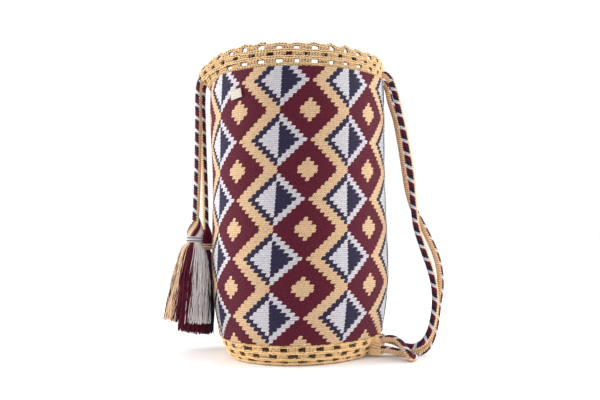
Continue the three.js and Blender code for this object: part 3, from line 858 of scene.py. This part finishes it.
# %% Stitch and backing
LEG_STEPS = np.linspace(0, 1, 4)
LEG_FOOT = 0.16
LEG_OPEN = 0.18
LEG_BOW = 0.25
LEG_SINK = 0.1
LEG_RADIUS = 0.155
LEG_SIDES = 5
INNER_FACE_SHADE = 0.2
leg_bow = LEG_BOW * np.sin(math.pi * LEG_STEPS) - LEG_SINK
leg_side = LEG_FOOT + LEG_OPEN * LEG_STEPS
legs = [np.stack([side * leg_side, leg_bow, LEG_STEPS - 0.5], -1) for side in (-1, 1)]
vee_shape = looped_shape("vee_shape", legs, LEG_RADIUS, LEG_SIDES)
HALVES = (-0.5, 0.5)
corners = np.array([(x, y, z) for x in HALVES for y in HALVES for z in HALVES])
box_faces = [(0, 1, 3, 2), (4, 6, 7, 5), (0, 4, 5, 1), (2, 3, 7, 6), (0, 2, 6, 4), (1, 5, 7, 3)]
# The box's outer face is fully dark and its inner face a little dark, as painted shade.
shade_backing_darkness = np.where(corners[:, 1] > 0, 1, INNER_FACE_SHADE)
backing_shape = stitch_shape("backing_shape", corners, box_faces, shade_backing_darkness)

# %% [markdown]
# ## Openwork bands
# The foot and the rim are tan openwork, three rows of eyelets each, every row half a step round from the
# next. One function makes the finish of both, because they differ in tone alone: the foot is warmer, more
# even and painted lighter, as painted light for the light that the floor throws up onto it. Two noises mix
# the two tones, a fine one for the fibres and a wide one for the yarn's unevenness.


# %% Tan yarn finishes
YARN_GRAIN = 700.0
YARN_UNEVEN = 60.0
FIBRE_GRAIN = 2500.0


def lace_finish(name, dark, light):
    """Tan yarn between two tones, with painted shade where a stitch is marked as hollow."""
    finish = Finish(name, **YARN)
    hollow_shade = finish.attribute("hollow_shade")
    fleck = finish.noise(YARN_GRAIN, detail=3.0)
    shade = finish.noise(YARN_UNEVEN)
    yarn = finish.mix(fleck * 0.6 + shade * 0.3, dark, light)
    # Painted shade: hollow parts of the stitches darken towards a dark tan.
    finish.colour(finish.mix(hollow_shade, yarn, TAN_SHADE))
    finish.roughness(fleck, least=0.75)
    finish.bump(finish.noise(FIBRE_GRAIN), distance=0.25 * MM)
    finish.report()
    return finish


rim_finish = lace_finish("rim_yarn", DEEP_TAN, CREAM_TAN)
# The foot's tones are painted light: lighter, for the light that the floor throws up onto it.
foot_finish = lace_finish("foot_yarn", FLOOR_LIT_TAN, FLOOR_LIT_PALE_TAN)

# %% [markdown]
# The tassels draw the rim down as well as out, and the strap draws it down a little, so the rim has a
# placing function of its own on top of the bag's. The stitches then follow the cloth's sag without a
# simulation.

# %% Points on the rim
RIM_SAG = 9
RIM_SAG_LEAN = 0.8
RIM_SAG_ROOT = 0.35
RIM_SAG_AT_TOP = 0.45
RIM_SAG_BEARING = -84
RIM_SAG_SPREAD = 26
RIM_DROP = 3.5
RIM_DROP_BEARING = 58
RIM_DROP_SPREAD = 34


def on_rim(bearing, radius, height):
    """Points of the rim, which hangs down and out at the tassels and a little down at the strap."""
    share = np.clip((height - RIM_BOTTOM) / RIM_HEIGHT, 0, 1)
    offset = offset_from(bearing, RIM_SAG_BEARING, RIM_SAG_SPREAD)
    sag = RIM_SAG * np.exp(-offset**2) * (1 - (1 - RIM_SAG_AT_TOP) * share)
    bulge = RIM_SAG_LEAN * sag * (RIM_SAG_ROOT + np.sin(math.pi * share))
    drop = RIM_DROP * share * np.exp(-offset_from(bearing, RIM_DROP_BEARING, RIM_DROP_SPREAD) ** 2)
    return on_bag(bearing, radius + bulge, height - sag - drop)


rim_top = RIM_BOTTOM + RIM_HEIGHT
print("the rim's top at the tassels:", on_rim(RIM_SAG_BEARING, RIM_RADIUS, rim_top))

# %% [markdown]
# A group is one kind of stitch at many bearings and heights of a band. Its direction and its outward side
# come from two small steps on the band's own surface, so that a stitch lies on any slope. Stitches that a
# cord would pass through are left out, as the worker parts them for the cord.

# %% Groups of stitches
BAND_THICKNESS = 4.5
CORD_ROOM = 5.6 * MM
PROBE_TURN = 0.2
PROBE_RISE = 0.5
ALL_CORDS = np.vstack([points for _, points in cords.values()])


def clear_of_cords(places, room=CORD_ROOM):
    gaps = [np.linalg.norm(ALL_CORDS - place, axis=1).min() for place in places]
    return np.array(gaps) > room


def band_group(shape, place, radius_at, bearings, heights, size, stand_out, upright, lean=0.0):
    """Stitches at bearings and heights on a band, standing upright or lying along the round."""
    def at(bearing, height):
        return place(bearing, radius_at(height) - BAND_THICKNESS / 2 + stand_out, height)

    places = at(bearings, heights)
    ahead = at(bearings + PROBE_TURN, heights) - places
    lift = at(bearings, heights + PROBE_RISE) - places
    along = unit(lift) + lean * unit(ahead) if upright else ahead
    keep = clear_of_cords(places)
    sizes = np.tile(np.array(size) * MM, (len(places), 1))
    return shape, places[keep], along[keep], np.cross(ahead, lift)[keep], sizes[keep]


print("stitches keep", CORD_ROOM, "m from", len(ALL_CORDS), "points of the cords")

# %% [markdown]
# Blocks of V stitches stand between the eyelets of a row, on a dark box of painted shade. Chains of the same
# V, laid on its side, run round between the rows. Small random shifts keep the rows from looking printed,
# and their seed is fixed, so that each run gives the same bag.

# %% Rows and chains
VEE_LEAN = 0.12
VEE_DEPTH = 4.4
VEE_OVERLAP = 1.05
BLOCK_SHIFT = 0.08
BLOCK_COLUMNS, BLOCK_LAYERS = 4, 3
STITCH_LIFT = 0.35
CHAIN_STAND_OUT = 0.5
CHAIN_SHADE_BACKING = 0.9
SHADE_BACKING_DEPTH = 1.4
SHADE_BACKING_SINK = -1.4
HEAVE = (0.5, 1.3)


def middles(start, stop, count):
    """The middles of count equal parts of a length."""
    return np.linspace(start, stop, 2 * count + 1)[1::2]


def row_groups(place, radius_at, height, tall, step, offset, eyelet_width, draw):
    """The blocks between the eyelets of one row, and the dark box of painted shade behind each block."""
    count = round(360 / step)
    radius = float(radius_at(height)) - BAND_THICKNESS / 2
    eyelet = math.degrees(eyelet_width / radius)
    starts = step * (np.arange(count) + offset + draw.uniform(-BLOCK_SHIFT, BLOCK_SHIFT, count))
    inside = middles(eyelet / 2, step - eyelet / 2, BLOCK_COLUMNS)
    levels = height + tall * middles(-0.5, 0.5, BLOCK_LAYERS)
    grids = np.meshgrid(starts[:, None] + inside[None], levels)
    bearings, heights = (grid.reshape(-1) for grid in grids)
    heights = heights + draw.normal(0, STITCH_LIFT, len(heights))
    block = math.radians(step - eyelet) * radius
    size = (block / BLOCK_COLUMNS, VEE_DEPTH, VEE_OVERLAP * tall / BLOCK_LAYERS)
    shade_backing = (block, SHADE_BACKING_DEPTH, tall)
    level = np.full(count, height)
    return [
        band_group(vee_shape, place, radius_at, bearings, heights, size, 0, True, VEE_LEAN),
        band_group(backing_shape, place, radius_at, starts + step / 2, level, shade_backing, SHADE_BACKING_SINK, True),
    ]


def chain_groups(place, radius_at, height, tall, stitches, step, scallop, draw):
    """One round of chain, with a dark box of painted shade behind it. A scallop lifts it between the eyelets.
    """
    count = round(360 / step)
    bearings = step / stitches * np.arange(stitches * count)
    length = math.tau * float(radius_at(height)) / (stitches * count)
    arch = draw.normal(0, STITCH_LIFT, len(bearings))
    if scallop is not None:
        heave = draw.uniform(*HEAVE, count)[np.round(bearings / step).astype(int) % count]
        arch += scallop * heave * np.cos(math.pi * bearings / step) ** 2
    size = (tall, VEE_DEPTH, VEE_OVERLAP * length)
    shade_backing = (CHAIN_SHADE_BACKING * tall, SHADE_BACKING_DEPTH, length)
    lift = height + arch
    return [
        band_group(vee_shape, place, radius_at, bearings, lift, size, CHAIN_STAND_OUT, False),
        band_group(backing_shape, place, radius_at, bearings, lift, shade_backing, SHADE_BACKING_SINK, False),
    ]


# %% [markdown]
# A band is its rows and then its chains. The rim's top chain is scalloped, as crochet at an edge puckers
# between its stitches. The levels are heights above the band's own bottom edge, read from the photograph.

# %% Rim and foot
RIM_EYELETS = 32
RIM_EYELET_WIDTH = 7.4
RIM_SCALLOP = 3
RIM_ROWS = [(6.5, 8.2), (14.7, 8.2), (22.9, 6.4)]
RIM_CHAINS = [(0.8, 6, 2.4), (3.0, 6, 2.4), (10.6, 6, 4.4), (18.8, 6, 4.4), (25.4, 6, 4.4)]
FOOT_EYELETS = 28
FOOT_EYELET_WIDTH = 9.8
FOOT_SCALLOP = 0
FOOT_ROWS = [(4.8, 7.4), (13.3, 8.7), (22.0, 8.7)]
FOOT_CHAINS = [(3.0, 7, 3), (8.95, 7, 4.1), (17.65, 7, 4.1), (26.2, 7, 3.4)]


def openwork(name, finish, place, radius_at, bottom, count, eyelet_width, rows, chains, scallop):
    """A band of openwork, from (level, height) rows and (level, stitches, height) chains."""
    step = 360 / count
    draw = np.random.default_rng(count)
    groups = []
    for number, (level, tall) in enumerate(rows):
        offset = (number % 2) / 2
        groups += row_groups(place, radius_at, bottom + level, tall, step, offset, eyelet_width, draw)
    for number, (level, stitches, tall) in enumerate(chains):
        top = scallop if number == len(chains) - 1 else None
        groups += chain_groups(place, radius_at, bottom + level, tall, stitches, step, top, draw)
    band = stitched(name, groups, finish)
    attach(band, "bag")
    return band


rim = openwork(
    "rim_openwork", rim_finish, on_rim, rim_radius, RIM_BOTTOM, RIM_EYELETS, RIM_EYELET_WIDTH,
    RIM_ROWS, RIM_CHAINS, RIM_SCALLOP)
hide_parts("rim_band")
foot = openwork(
    "foot_openwork", foot_finish, on_bag, foot_radius, 0, FOOT_EYELETS, FOOT_EYELET_WIDTH,
    FOOT_ROWS, FOOT_CHAINS, FOOT_SCALLOP)
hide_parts("foot_band")

# %% [markdown]
# ## Base
# The base is a flat spiral of the same tan yarn, worked from the middle out. It is hardly seen, so it is
# one grid: rings with a ridge for each round give its relief, and the map counts stitches so that each
# round shows its own. Each stitch is painted darker towards its edges, as shade in the grooves.

# %% Base disc
BASE_THICKNESS = 4
BASE_ROUNDS = 26
BASE_STITCHES = 120
BASE_MIDDLE = 0.2
BASE_GAP = 0.3
BASE_DENT = 0.5
base_finish = Finish("base_yarn", **YARN)
across, along = base_finish.stitches()
leg = abs((across + along * 0.5).fraction() - 0.5)
fleck = base_finish.noise(YARN_GRAIN, detail=3.0)
# Painted shade: each stitch darkens towards its edges, in the grooves between stitches.
base_finish.colour(base_finish.mix(fleck * 0.5 + leg * 0.8, TAN, DEEP_TAN))
base_finish.roughness(fleck, least=0.75)
base_finish.bump(((along + leg * LEG_SLANT) * math.tau).sine() - leg * 2, distance=0.6 * MM)
base_edge = BASE_RADIUS - BAND_THICKNESS - BASE_GAP
base_rounds = np.linspace(BASE_ROUNDS, BASE_MIDDLE, 2 * BASE_ROUNDS)
dent = BASE_DENT * (np.arange(len(base_rounds)) % 2)
base_turns = np.arange(BASE_STITCHES) * 360 / BASE_STITCHES
radii = base_rounds / BASE_ROUNDS * base_edge
under = on_bag(base_turns[None], radii[::-1][:, None], dent[::-1][:, None])
upper = on_bag(base_turns[None], radii[:, None], BASE_THICKNESS - dent[:, None])
base_rings = np.concatenate([under, upper])
base_across = np.arange(BASE_STITCHES + 1.0)
base_along = np.concatenate([base_rounds[::-1], base_rounds])
base = ring_grid("base_yarn", base_rings, base_across, base_along, base_finish)
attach(base, "bag")
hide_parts("base_disc")

# %% [markdown]
# ## Tassels
# A tassel is a hank of cut yarn, folded over the cord's end and bound under the fold. Hair would give loose
# strands, but it isn't a mesh, so each strand is a line from the head over the neck and out to the hem, and
# a second tree gives the lines their thickness.

# %% The strand tree
STRAND_TREE, STRAND_KEYS, made = new_tree(
    "strands_from_lines",
    {"Lines": "Geometry", "Yarn radius": "Float", "Yarn sides": "Int", "Finish": "Material"},
    {
        "curve": "GeometryNodeMeshToCurve", "ring": "GeometryNodeCurvePrimitiveCircle",
        "skin": "GeometryNodeCurveToMesh", "real": "GeometryNodeRealizeInstances",
        "paint": "GeometryNodeSetMaterial",
    },
)
made["skin"].inputs["Fill Caps"].default_value = True
link(STRAND_TREE, made, (
    ("in", "Lines", "curve", "Mesh"), ("in", "Yarn radius", "ring", "Radius"),
    ("in", "Yarn sides", "ring", "Resolution"), ("curve", "Curve", "skin", "Curve"),
    ("ring", "Curve", "skin", "Profile Curve"), ("skin", "Mesh", "real", "Geometry"),
    ("real", "Geometry", "paint", "Geometry"), ("in", "Finish", "paint", "Material"),
    ("paint", "Geometry", "out", "Geometry"),
))


def strands(name, lines, colours, radius, sides, finish):
    """Yarn along lines, an array (strands, points, 3), with a colour number for each strand."""
    count, points = lines.shape[:2]
    index = np.arange(count * points).reshape(count, points)
    edges = np.stack([index[:, :-1], index[:, 1:]], -1).reshape(-1, 2)
    mesh = bpy.data.meshes.new(name + "_lines")
    mesh.from_pydata(lines.reshape(-1, 3).tolist(), edges.tolist(), [])
    mark(mesh, "yarn", np.repeat(np.asarray(colours, float), points))
    inputs = {"Yarn radius": radius, "Yarn sides": sides, "Finish": finish.material}
    return grown(name, mesh, STRAND_TREE, STRAND_KEYS, inputs)


# %% [markdown]
# All the strands share one finish. A number on every point says which of five yarns its strand is, and the
# number's fraction says how dark the strand lies, which is lighter than a material for each colour.

# %% Tassel finish
TASSEL_GRAIN = 900.0
TASSEL_FIBRE = 3000.0
STRAND_SHADE = 0.9
tassel_finish = Finish("tassel_yarn", **YARN)
number = tassel_finish.attribute("yarn")
fleck = tassel_finish.noise(TASSEL_GRAIN)
colour = DEEP_MAROON
for below, yarn in enumerate((WARM_TAN, NAVY, GREY, WHITE)):
    colour = tassel_finish.mix(number > below + 0.5, colour, yarn)
shade = number.fraction() * STRAND_SHADE
tassel_finish.colour(tassel_finish.mix(fleck * 0.2 + shade, colour, SHADE_AND_TINT_DARK))
tassel_finish.roughness(fleck, least=0.7)
tassel_finish.bump(tassel_finish.noise(TASSEL_FIBRE), distance=0.2 * MM)
tassel_finish.report()

# %% [markdown]
# The strands spread from the neck to the hem, wave a little and end unevenly. They are coloured by where
# they lie from left to right, in stripes as the hanks were laid together. Outer strands are set evenly, to
# close the surface, and inner ones at random. The order of the draws must stay, because each one takes the
# next numbers.

# %% Tassel lines
TASSELS = {
    "front": {"pivot": FRONT_PIVOT, "lean": 6, "length": 126, "hem": 33,
              "bounds": (-0.96, -0.55, 0.1, 1.0), "order": (2, 1, 0, 3, 2),
              "winds": (4, 2, 4.1, 3.3, 2, 3.3)},
    "back": {"pivot": BACK_PIVOT, "lean": 7, "length": 140, "hem": 27,
             "bounds": (-1.3, -1.2, 0.8, 1.2), "order": (2, 1, 0, 2, 1),
             "winds": (1, 0, 1, 1, 0, 1)},
}
HEAD_LINE = [(2.6, 13.5), (4.8, 9.5), (7.2, 4.5), (9.4, -1), (10.8, -7), (9.4, -12.5)]
HEAD_TWIST = 1.7
NECK_RADIUS = 8.5
NECK_DROP = 12
BINDING_HEIGHT = 8
OUTER_STRANDS = 150
INNER_STRANDS = 520
INNERMOST = 0.05
SKIRT_POINTS = 15
SKIRT_FLATNESS = 0.75
SKIRT_FLARE = 0.45
HEM_FRAY = 9
FRAY_POWER = 0.6
STRAND_WAVE = 1.7
WAVE_TURNS = (4, 11)
WAVE_ONSET = 4
STRAND_WANDER = 0.1
COLOUR_MINGLE = 0.06
SHADE_SPREAD = 0.28


def in_place(tassel, points):
    """Points of a tassel that hangs from its own origin, in millimetres, put where it hangs."""
    lean = math.radians(tassel["lean"])
    x, y, z = np.moveaxis(points, -1, 0)
    sideways = x * math.cos(lean) + z * math.sin(lean)
    upright = z * math.cos(lean) - x * math.sin(lean)
    return (np.stack([sideways, y, upright], -1) + tassel["pivot"]) * MM


def waving(draw, count, share):
    starts = draw.uniform(0, math.tau, (count, 1))
    return np.sin(starts + draw.uniform(*WAVE_TURNS, (count, 1)) * share)


def tassel_lines(tassel, draw):
    """The lines of a tassel's strands, and the colour number of each."""
    count = OUTER_STRANDS + INNER_STRANDS
    turn = draw.uniform(0, math.tau, count)
    turn[:OUTER_STRANDS] = math.tau * (np.arange(OUTER_STRANDS) + 0.5) / OUTER_STRANDS
    depth = np.sqrt(draw.uniform(INNERMOST, 1, count))
    depth[:OUTER_STRANDS] = 1
    length = tassel["length"] - HEM_FRAY * draw.power(FRAY_POWER, count)
    skirt_top = -NECK_DROP - BINDING_HEIGHT - 1
    share = np.linspace(0, 1, SKIRT_POINTS)[None]
    reach = NECK_RADIUS + (tassel["hem"] - 1 - NECK_RADIUS) * share**SKIRT_FLARE
    wave = waving(draw, count, share)
    curl = waving(draw, count, share)
    loose = np.minimum(1, WAVE_ONSET * share)
    wander = draw.normal(0, STRAND_WANDER, (count, 1)) * share
    skirt_turn = turn[:, None] + wander + STRAND_WAVE / reach * wave * loose
    skirt_reach = depth[:, None] * reach - STRAND_WAVE * (1 + curl) * loose
    skirt_height = skirt_top + (-length[:, None] - skirt_top) * share
    head_reach, head_height = np.array(HEAD_LINE).T
    head_turn = turn[:, None] + HEAD_TWIST * np.linspace(1, 0, len(head_reach))[None]
    line_reach = np.concatenate([depth[:, None] * head_reach[None], skirt_reach], 1)
    line_turn = np.concatenate([head_turn, skirt_turn], 1)
    line_height = np.concatenate([np.repeat(head_height[None], count, 0), skirt_height], 1)
    x = line_reach * np.sin(line_turn)
    y = -line_reach * np.cos(line_turn) * SKIRT_FLATNESS
    sideways = np.sin(turn) * depth + draw.normal(0, COLOUR_MINGLE, count)
    colours = np.array(tassel["order"])[np.searchsorted(tassel["bounds"], sideways)]
    colours = colours + SHADE_SPREAD * draw.uniform(0, 1, count)
    return in_place(tassel, np.stack([x, y, line_height], -1)), colours


print("a tassel has", OUTER_STRANDS + INNER_STRANDS, "strands")

# %% [markdown]
# The neck is bound with a few rounds of yarn. A single spiral would be truer, but separate tilted rings
# look the same and can each have their own colour. Strands and binding ride with the tassel when it swings.

# %% Tassels
WINDING_POINTS = 33
WINDING_OUT = 1.7
WINDING_TOP = 1
WINDING_LESS = 1.6
WIND_RADIUS = 0.75
WIND_SIDES = 6
WIND_TILT = 0.06
STRAND_RADIUS = 0.5
STRAND_SIDES = 4
FIRST_SEED = 40


def binding_lines(tassel):
    """The rounds of yarn on a tassel's neck, one below the next and a little tilted."""
    lap = np.linspace(0, math.tau, WINDING_POINTS)
    reach = NECK_RADIUS + WINDING_OUT
    rounds = np.linspace(0, 1, len(tassel["winds"]))
    drops = NECK_DROP + WINDING_TOP + (BINDING_HEIGHT - WINDING_LESS) * rounds
    x, y = reach * np.sin(lap), -reach * np.cos(lap) * SKIRT_FLATNESS
    return in_place(tassel, np.stack([np.stack([x, y, WIND_TILT * x - drop], -1) for drop in drops]))


for seed, (side, tassel) in enumerate(TASSELS.items()):
    draw = np.random.default_rng(FIRST_SEED + seed)
    lines, colours = tassel_lines(tassel, draw)
    bundle = strands(
        f"tassel_{side}_strands", lines, colours, STRAND_RADIUS * MM, STRAND_SIDES, tassel_finish)
    binding = strands(
        f"tassel_{side}_winding", binding_lines(tassel), tassel["winds"], WIND_RADIUS * MM, WIND_SIDES,
        tassel_finish)
    for piece, node, slot in ((bundle, "bundle", "tassel_yarn"), (binding, "binding", "binding_yarn")):
        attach(piece, f"tassel_{side}")
        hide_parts(f"tassel_{side}_{node}")

# %% [markdown]
# ## The strap's tab
# The strap's ends go into a thick tan tab worked onto the foot band. Its solid keeps its form and gets a
# finish of slanting coils, with painted shade in the grooves between them, which show between the stitches
# that are set on it next. Stitches alone would leave it open to view.

# %% Tab finish
TAB_LEAN = 0.6
TAB_COIL = 3.4 * MM
TAB_WANDER = 2 * MM
TAB_UNEVEN = 120.0
core_finish = Finish("tab_yarn", Roughness=0.85, **YARN)
_, y, z = core_finish.split(core_finish.place())
wander = core_finish.noise(TAB_UNEVEN) * TAB_WANDER
coil = abs(((z - y * TAB_LEAN + wander) / TAB_COIL).fraction() * 2 - 1)
# Painted shade: the grooves between the coils darken towards a dark tan.
core_finish.colour(core_finish.mix(coil.power(GROOVE_POWER), PALE_TAN, TAN_SHADE))
core_finish.bump(1 - coil * coil, distance=1.2 * MM)
frame_tab = bpy.data.objects["strap_tab"]
frame_tab.data.materials.clear()
frame_tab.data.materials.append(core_finish.material)
core_finish.report()

# %% [markdown]
# The tab's stitches are worked in rounds over its edge and rows over its face. They are laid out on a flat
# outline with round corners and then turned to face away from the bag, where the tab stands.

# %% Places on the tab
TAB_BEARING = 68.5
TAB_RISE = 15.5
TAB_STAND_OUT = 10
TAB_HALF = (12, 12.5)
TAB_CORNER = 7
CORNER_POINTS = 6
TAB_STITCHES = 20
TAB_LAYERS = 4
TAB_LAYER = 3.6
TAB_EDGE = 1
TAB_ROWS = np.arange(-9, 9.1, 3.6)
tab_turn = math.radians(TAB_BEARING)
TAB_OUT = np.array([math.sin(tab_turn), -math.cos(tab_turn), 0])
TAB_SIDE = np.array([math.cos(tab_turn), math.sin(tab_turn), 0])
UP = np.array([0, 0, 1])
tab_root = on_bag(TAB_BEARING, foot_radius(TAB_RISE), TAB_RISE)
tab_face = np.linalg.norm(tab_root[:2]) / MM + TAB_STAND_OUT


def on_tab(sideways, up, out):
    flat = TAB_OUT * out[:, None] + TAB_SIDE * sideways[:, None]
    return (flat + UP * TAB_RISE + UP * up[:, None]) * MM


corner = np.linspace(0, math.pi / 2, CORNER_POINTS)
edge = []
for quarter, (right, up) in enumerate(((1, 1), (-1, 1), (-1, -1), (1, -1))):
    angle = corner + quarter * math.pi / 2
    edge.append(np.stack([right * (TAB_HALF[0] - TAB_CORNER) + TAB_CORNER * np.cos(angle),
                          up * (TAB_HALF[1] - TAB_CORNER) + TAB_CORNER * np.sin(angle)], -1))
edge = np.vstack([*edge, edge[0][:1]])
turns = np.linspace(0, len(edge) - 1, TAB_STITCHES, endpoint=False)
edge_side, edge_up = (np.interp(turns, np.arange(len(edge)), edge[:, i]) for i in range(2))
side_places = np.vstack([
    on_tab(edge_side, edge_up, np.full(TAB_STITCHES, tab_face - TAB_EDGE - layer * TAB_LAYER))
    for layer in range(TAB_LAYERS)])
side_out = np.tile(TAB_SIDE * edge_side[:, None] + UP * edge_up[:, None], (TAB_LAYERS, 1))
rows, columns = np.meshgrid(TAB_ROWS, TAB_ROWS, indexing="ij")
face_places = on_tab(columns.reshape(-1), rows.reshape(-1), np.full(rows.size, tab_face))
face_out = np.tile(TAB_OUT, (rows.size, 1))
print("places on the tab:", len(side_places), "round its edge and", len(face_places), "on its face")

# %% [markdown]
# The same tree sets V stitches on these places, each leaning as the coils do. Those that a cord would pass
# through, or that would reach the floor, are left out.

# %% Tab stitches
TAB_STITCH = (4.6, 5, 5.2)
TAB_ROOM = 6 * MM
TAB_FLOOR = 4 * MM
side_along = TAB_OUT + TAB_LEAN * np.cross(TAB_OUT, unit(side_out))
face_along = np.tile(TAB_LEAN * TAB_SIDE + UP, (len(face_places), 1))
groups = []
for places, along, outward in (
    (side_places, side_along, side_out),
    (face_places, face_along, face_out),
):
    keep = clear_of_cords(places, TAB_ROOM) & (places[:, 2] > TAB_FLOOR)
    sizes = np.tile(np.array(TAB_STITCH) * MM, (keep.sum(), 1))
    groups.append((vee_shape, places[keep], along[keep], outward[keep], sizes))
tab_yarn = stitched("tab_yarn", groups, foot_finish)
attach(tab_yarn, "bag")

# %% [markdown]
# ## Label
# A little cream cloth label is sewn to the wall near the rim. A flat card would stand off the round wall at
# its ends, so it is a thin sheet that bends with the wall, and a fine weave in its bump shows that it is
# cloth.

# %% Label
LABEL_SIZE = (16.5, 11.5)
LABEL_BEARING = -39
LABEL_HEIGHT = WALL_BOTTOM + WALL_HEIGHT - 30
LABEL_TILT = math.radians(10)
LABEL_BEND = 117
LABEL_LIFT = 0.7
LABEL_THICKNESS = 0.9
LABEL_ROWS, LABEL_COLUMNS = 13, 22
WEFT_THREADS, WARP_THREADS = 30, 18
LABEL_UNEVEN = 200.0
label_finish = Finish("label_cloth", **YARN)
across, along = label_finish.stitches()
weave = (across * (math.tau * WEFT_THREADS)).sine() * (along * (math.tau * WARP_THREADS)).sine()
tint = label_finish.noise(LABEL_UNEVEN)
label_finish.colour(label_finish.mix(tint * 0.6, CREAM, DEEP_CREAM))
label_finish.roughness(tint, least=0.6)
label_finish.bump(weave, distance=0.15 * MM)


def on_label(sideways, up, out):
    x = sideways * math.cos(LABEL_TILT) - up * math.sin(LABEL_TILT)
    z = LABEL_HEIGHT + sideways * math.sin(LABEL_TILT) + up * math.cos(LABEL_TILT)
    bearing = LABEL_BEARING + np.degrees(x / LABEL_BEND)
    return on_bag(bearing, wall_radius(z) + WALL_RELIEF + LABEL_LIFT + out, z)


ups = np.linspace(-LABEL_SIZE[1] / 2, LABEL_SIZE[1] / 2, LABEL_ROWS)
sides = np.linspace(-LABEL_SIZE[0] / 2, LABEL_SIZE[0] / 2, LABEL_COLUMNS)
loop_sides = np.concatenate([sides, sides[::-1]])
loop_out = np.repeat([LABEL_THICKNESS, 0], LABEL_COLUMNS)
sheet = np.stack([on_label(loop_sides, np.full(2 * LABEL_COLUMNS, up), loop_out) for up in ups])
there = np.linspace(0, 1, LABEL_COLUMNS)
around = np.concatenate([there, there[::-1], [0]])
label = ring_grid("label_cloth", sheet, around, np.linspace(0, 1, LABEL_ROWS), label_finish)
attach(label, "bag")
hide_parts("label")

# %% [markdown]
# ## What the cords are
# Four lengths hang free of the bag and one loops at its foot. The length of each is measured along its
# points and printed.

# %% Cord facts
for side in ("front", "back"):
    piece, points = cords[f"drawcord_tail_{side}"]
    length = float(evenly(points, MM)[1][-1])
    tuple(points[0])
    points[::4].tolist() + [points[-1].tolist()]
    print(piece.name, "declared", round(length, 3), "m")
for name in ("strap_front_strand", "strap_back_strand", "strap_hitch_loop"):
    piece, points = cords[name]
    length = float(evenly(points, MM)[1][-1])
    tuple(points[0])
    points[::4].tolist() + [points[-1].tolist()]
    print(piece.name, "declared", round(length, 3), "m")

# %% [markdown]
# ## Floor and light
# The photograph has a plain white ground and soft light from both sides, so the bag is a little darker in
# the middle. A picture of a studio could light it, but would bring its own colours. A wide pale floor, a
# white surround and a large lamp on each side give the same with a few numbers.

# %% Floor and surround
FLOOR = 40.0
FLOOR_COLOUR = linear(250, 250, 250)
SURROUND = 1.05
floor_mesh = bpy.data.meshes.new("floor")
corners = [(x * FLOOR, y * FLOOR, 0) for x, y in ((-1, -1), (1, -1), (1, 1), (-1, 1))]
floor_mesh.from_pydata(corners, [], [(0, 1, 2, 3)])
floor = in_scene("floor", floor_mesh)
floor_finish = Finish("floor", Roughness=0.9)
floor_finish.colour(FLOOR_COLOUR)
floor_mesh.materials.append(floor_finish.material)
world = bpy.data.worlds.new("surround")
world.use_nodes = True
backdrop = world.node_tree.nodes["Background"]
backdrop.inputs["Color"].default_value = (1, 1, 1, 1)
backdrop.inputs["Strength"].default_value = SURROUND
bpy.context.scene.world = world
bpy.context.scene.view_settings.view_transform = "Standard"
print("surround strength:", SURROUND)

# %% [markdown]
# Each lamp is a large square, because a large lamp gives soft shadows. It is turned towards a point at mid
# height by its pitch and its yaw.

# %% Lamps
LAMPS = (
    ("left", (-1.5, 0.1, 0.5), 30, 1.2),
    ("right", (1.5, 0.1, 0.5), 24, 1.2),
)
LAMP_AIM = np.array([0, 0, 0.2])
for name, place, power, size in LAMPS:
    lamp = in_scene(name, bpy.data.lights.new(name, "AREA"))
    lamp.data.energy, lamp.data.size = power, size
    lamp.location = place
    direction = LAMP_AIM - np.array(place)
    yaw = math.atan2(direction[1], direction[0]) - math.pi / 2
    pitch = math.atan2(math.hypot(direction[0], direction[1]), -direction[2])
    lamp.rotation_euler = (pitch, 0, yaw)
    print(name, "lamp:", power, "W, turned", round(math.degrees(yaw)), "degrees")
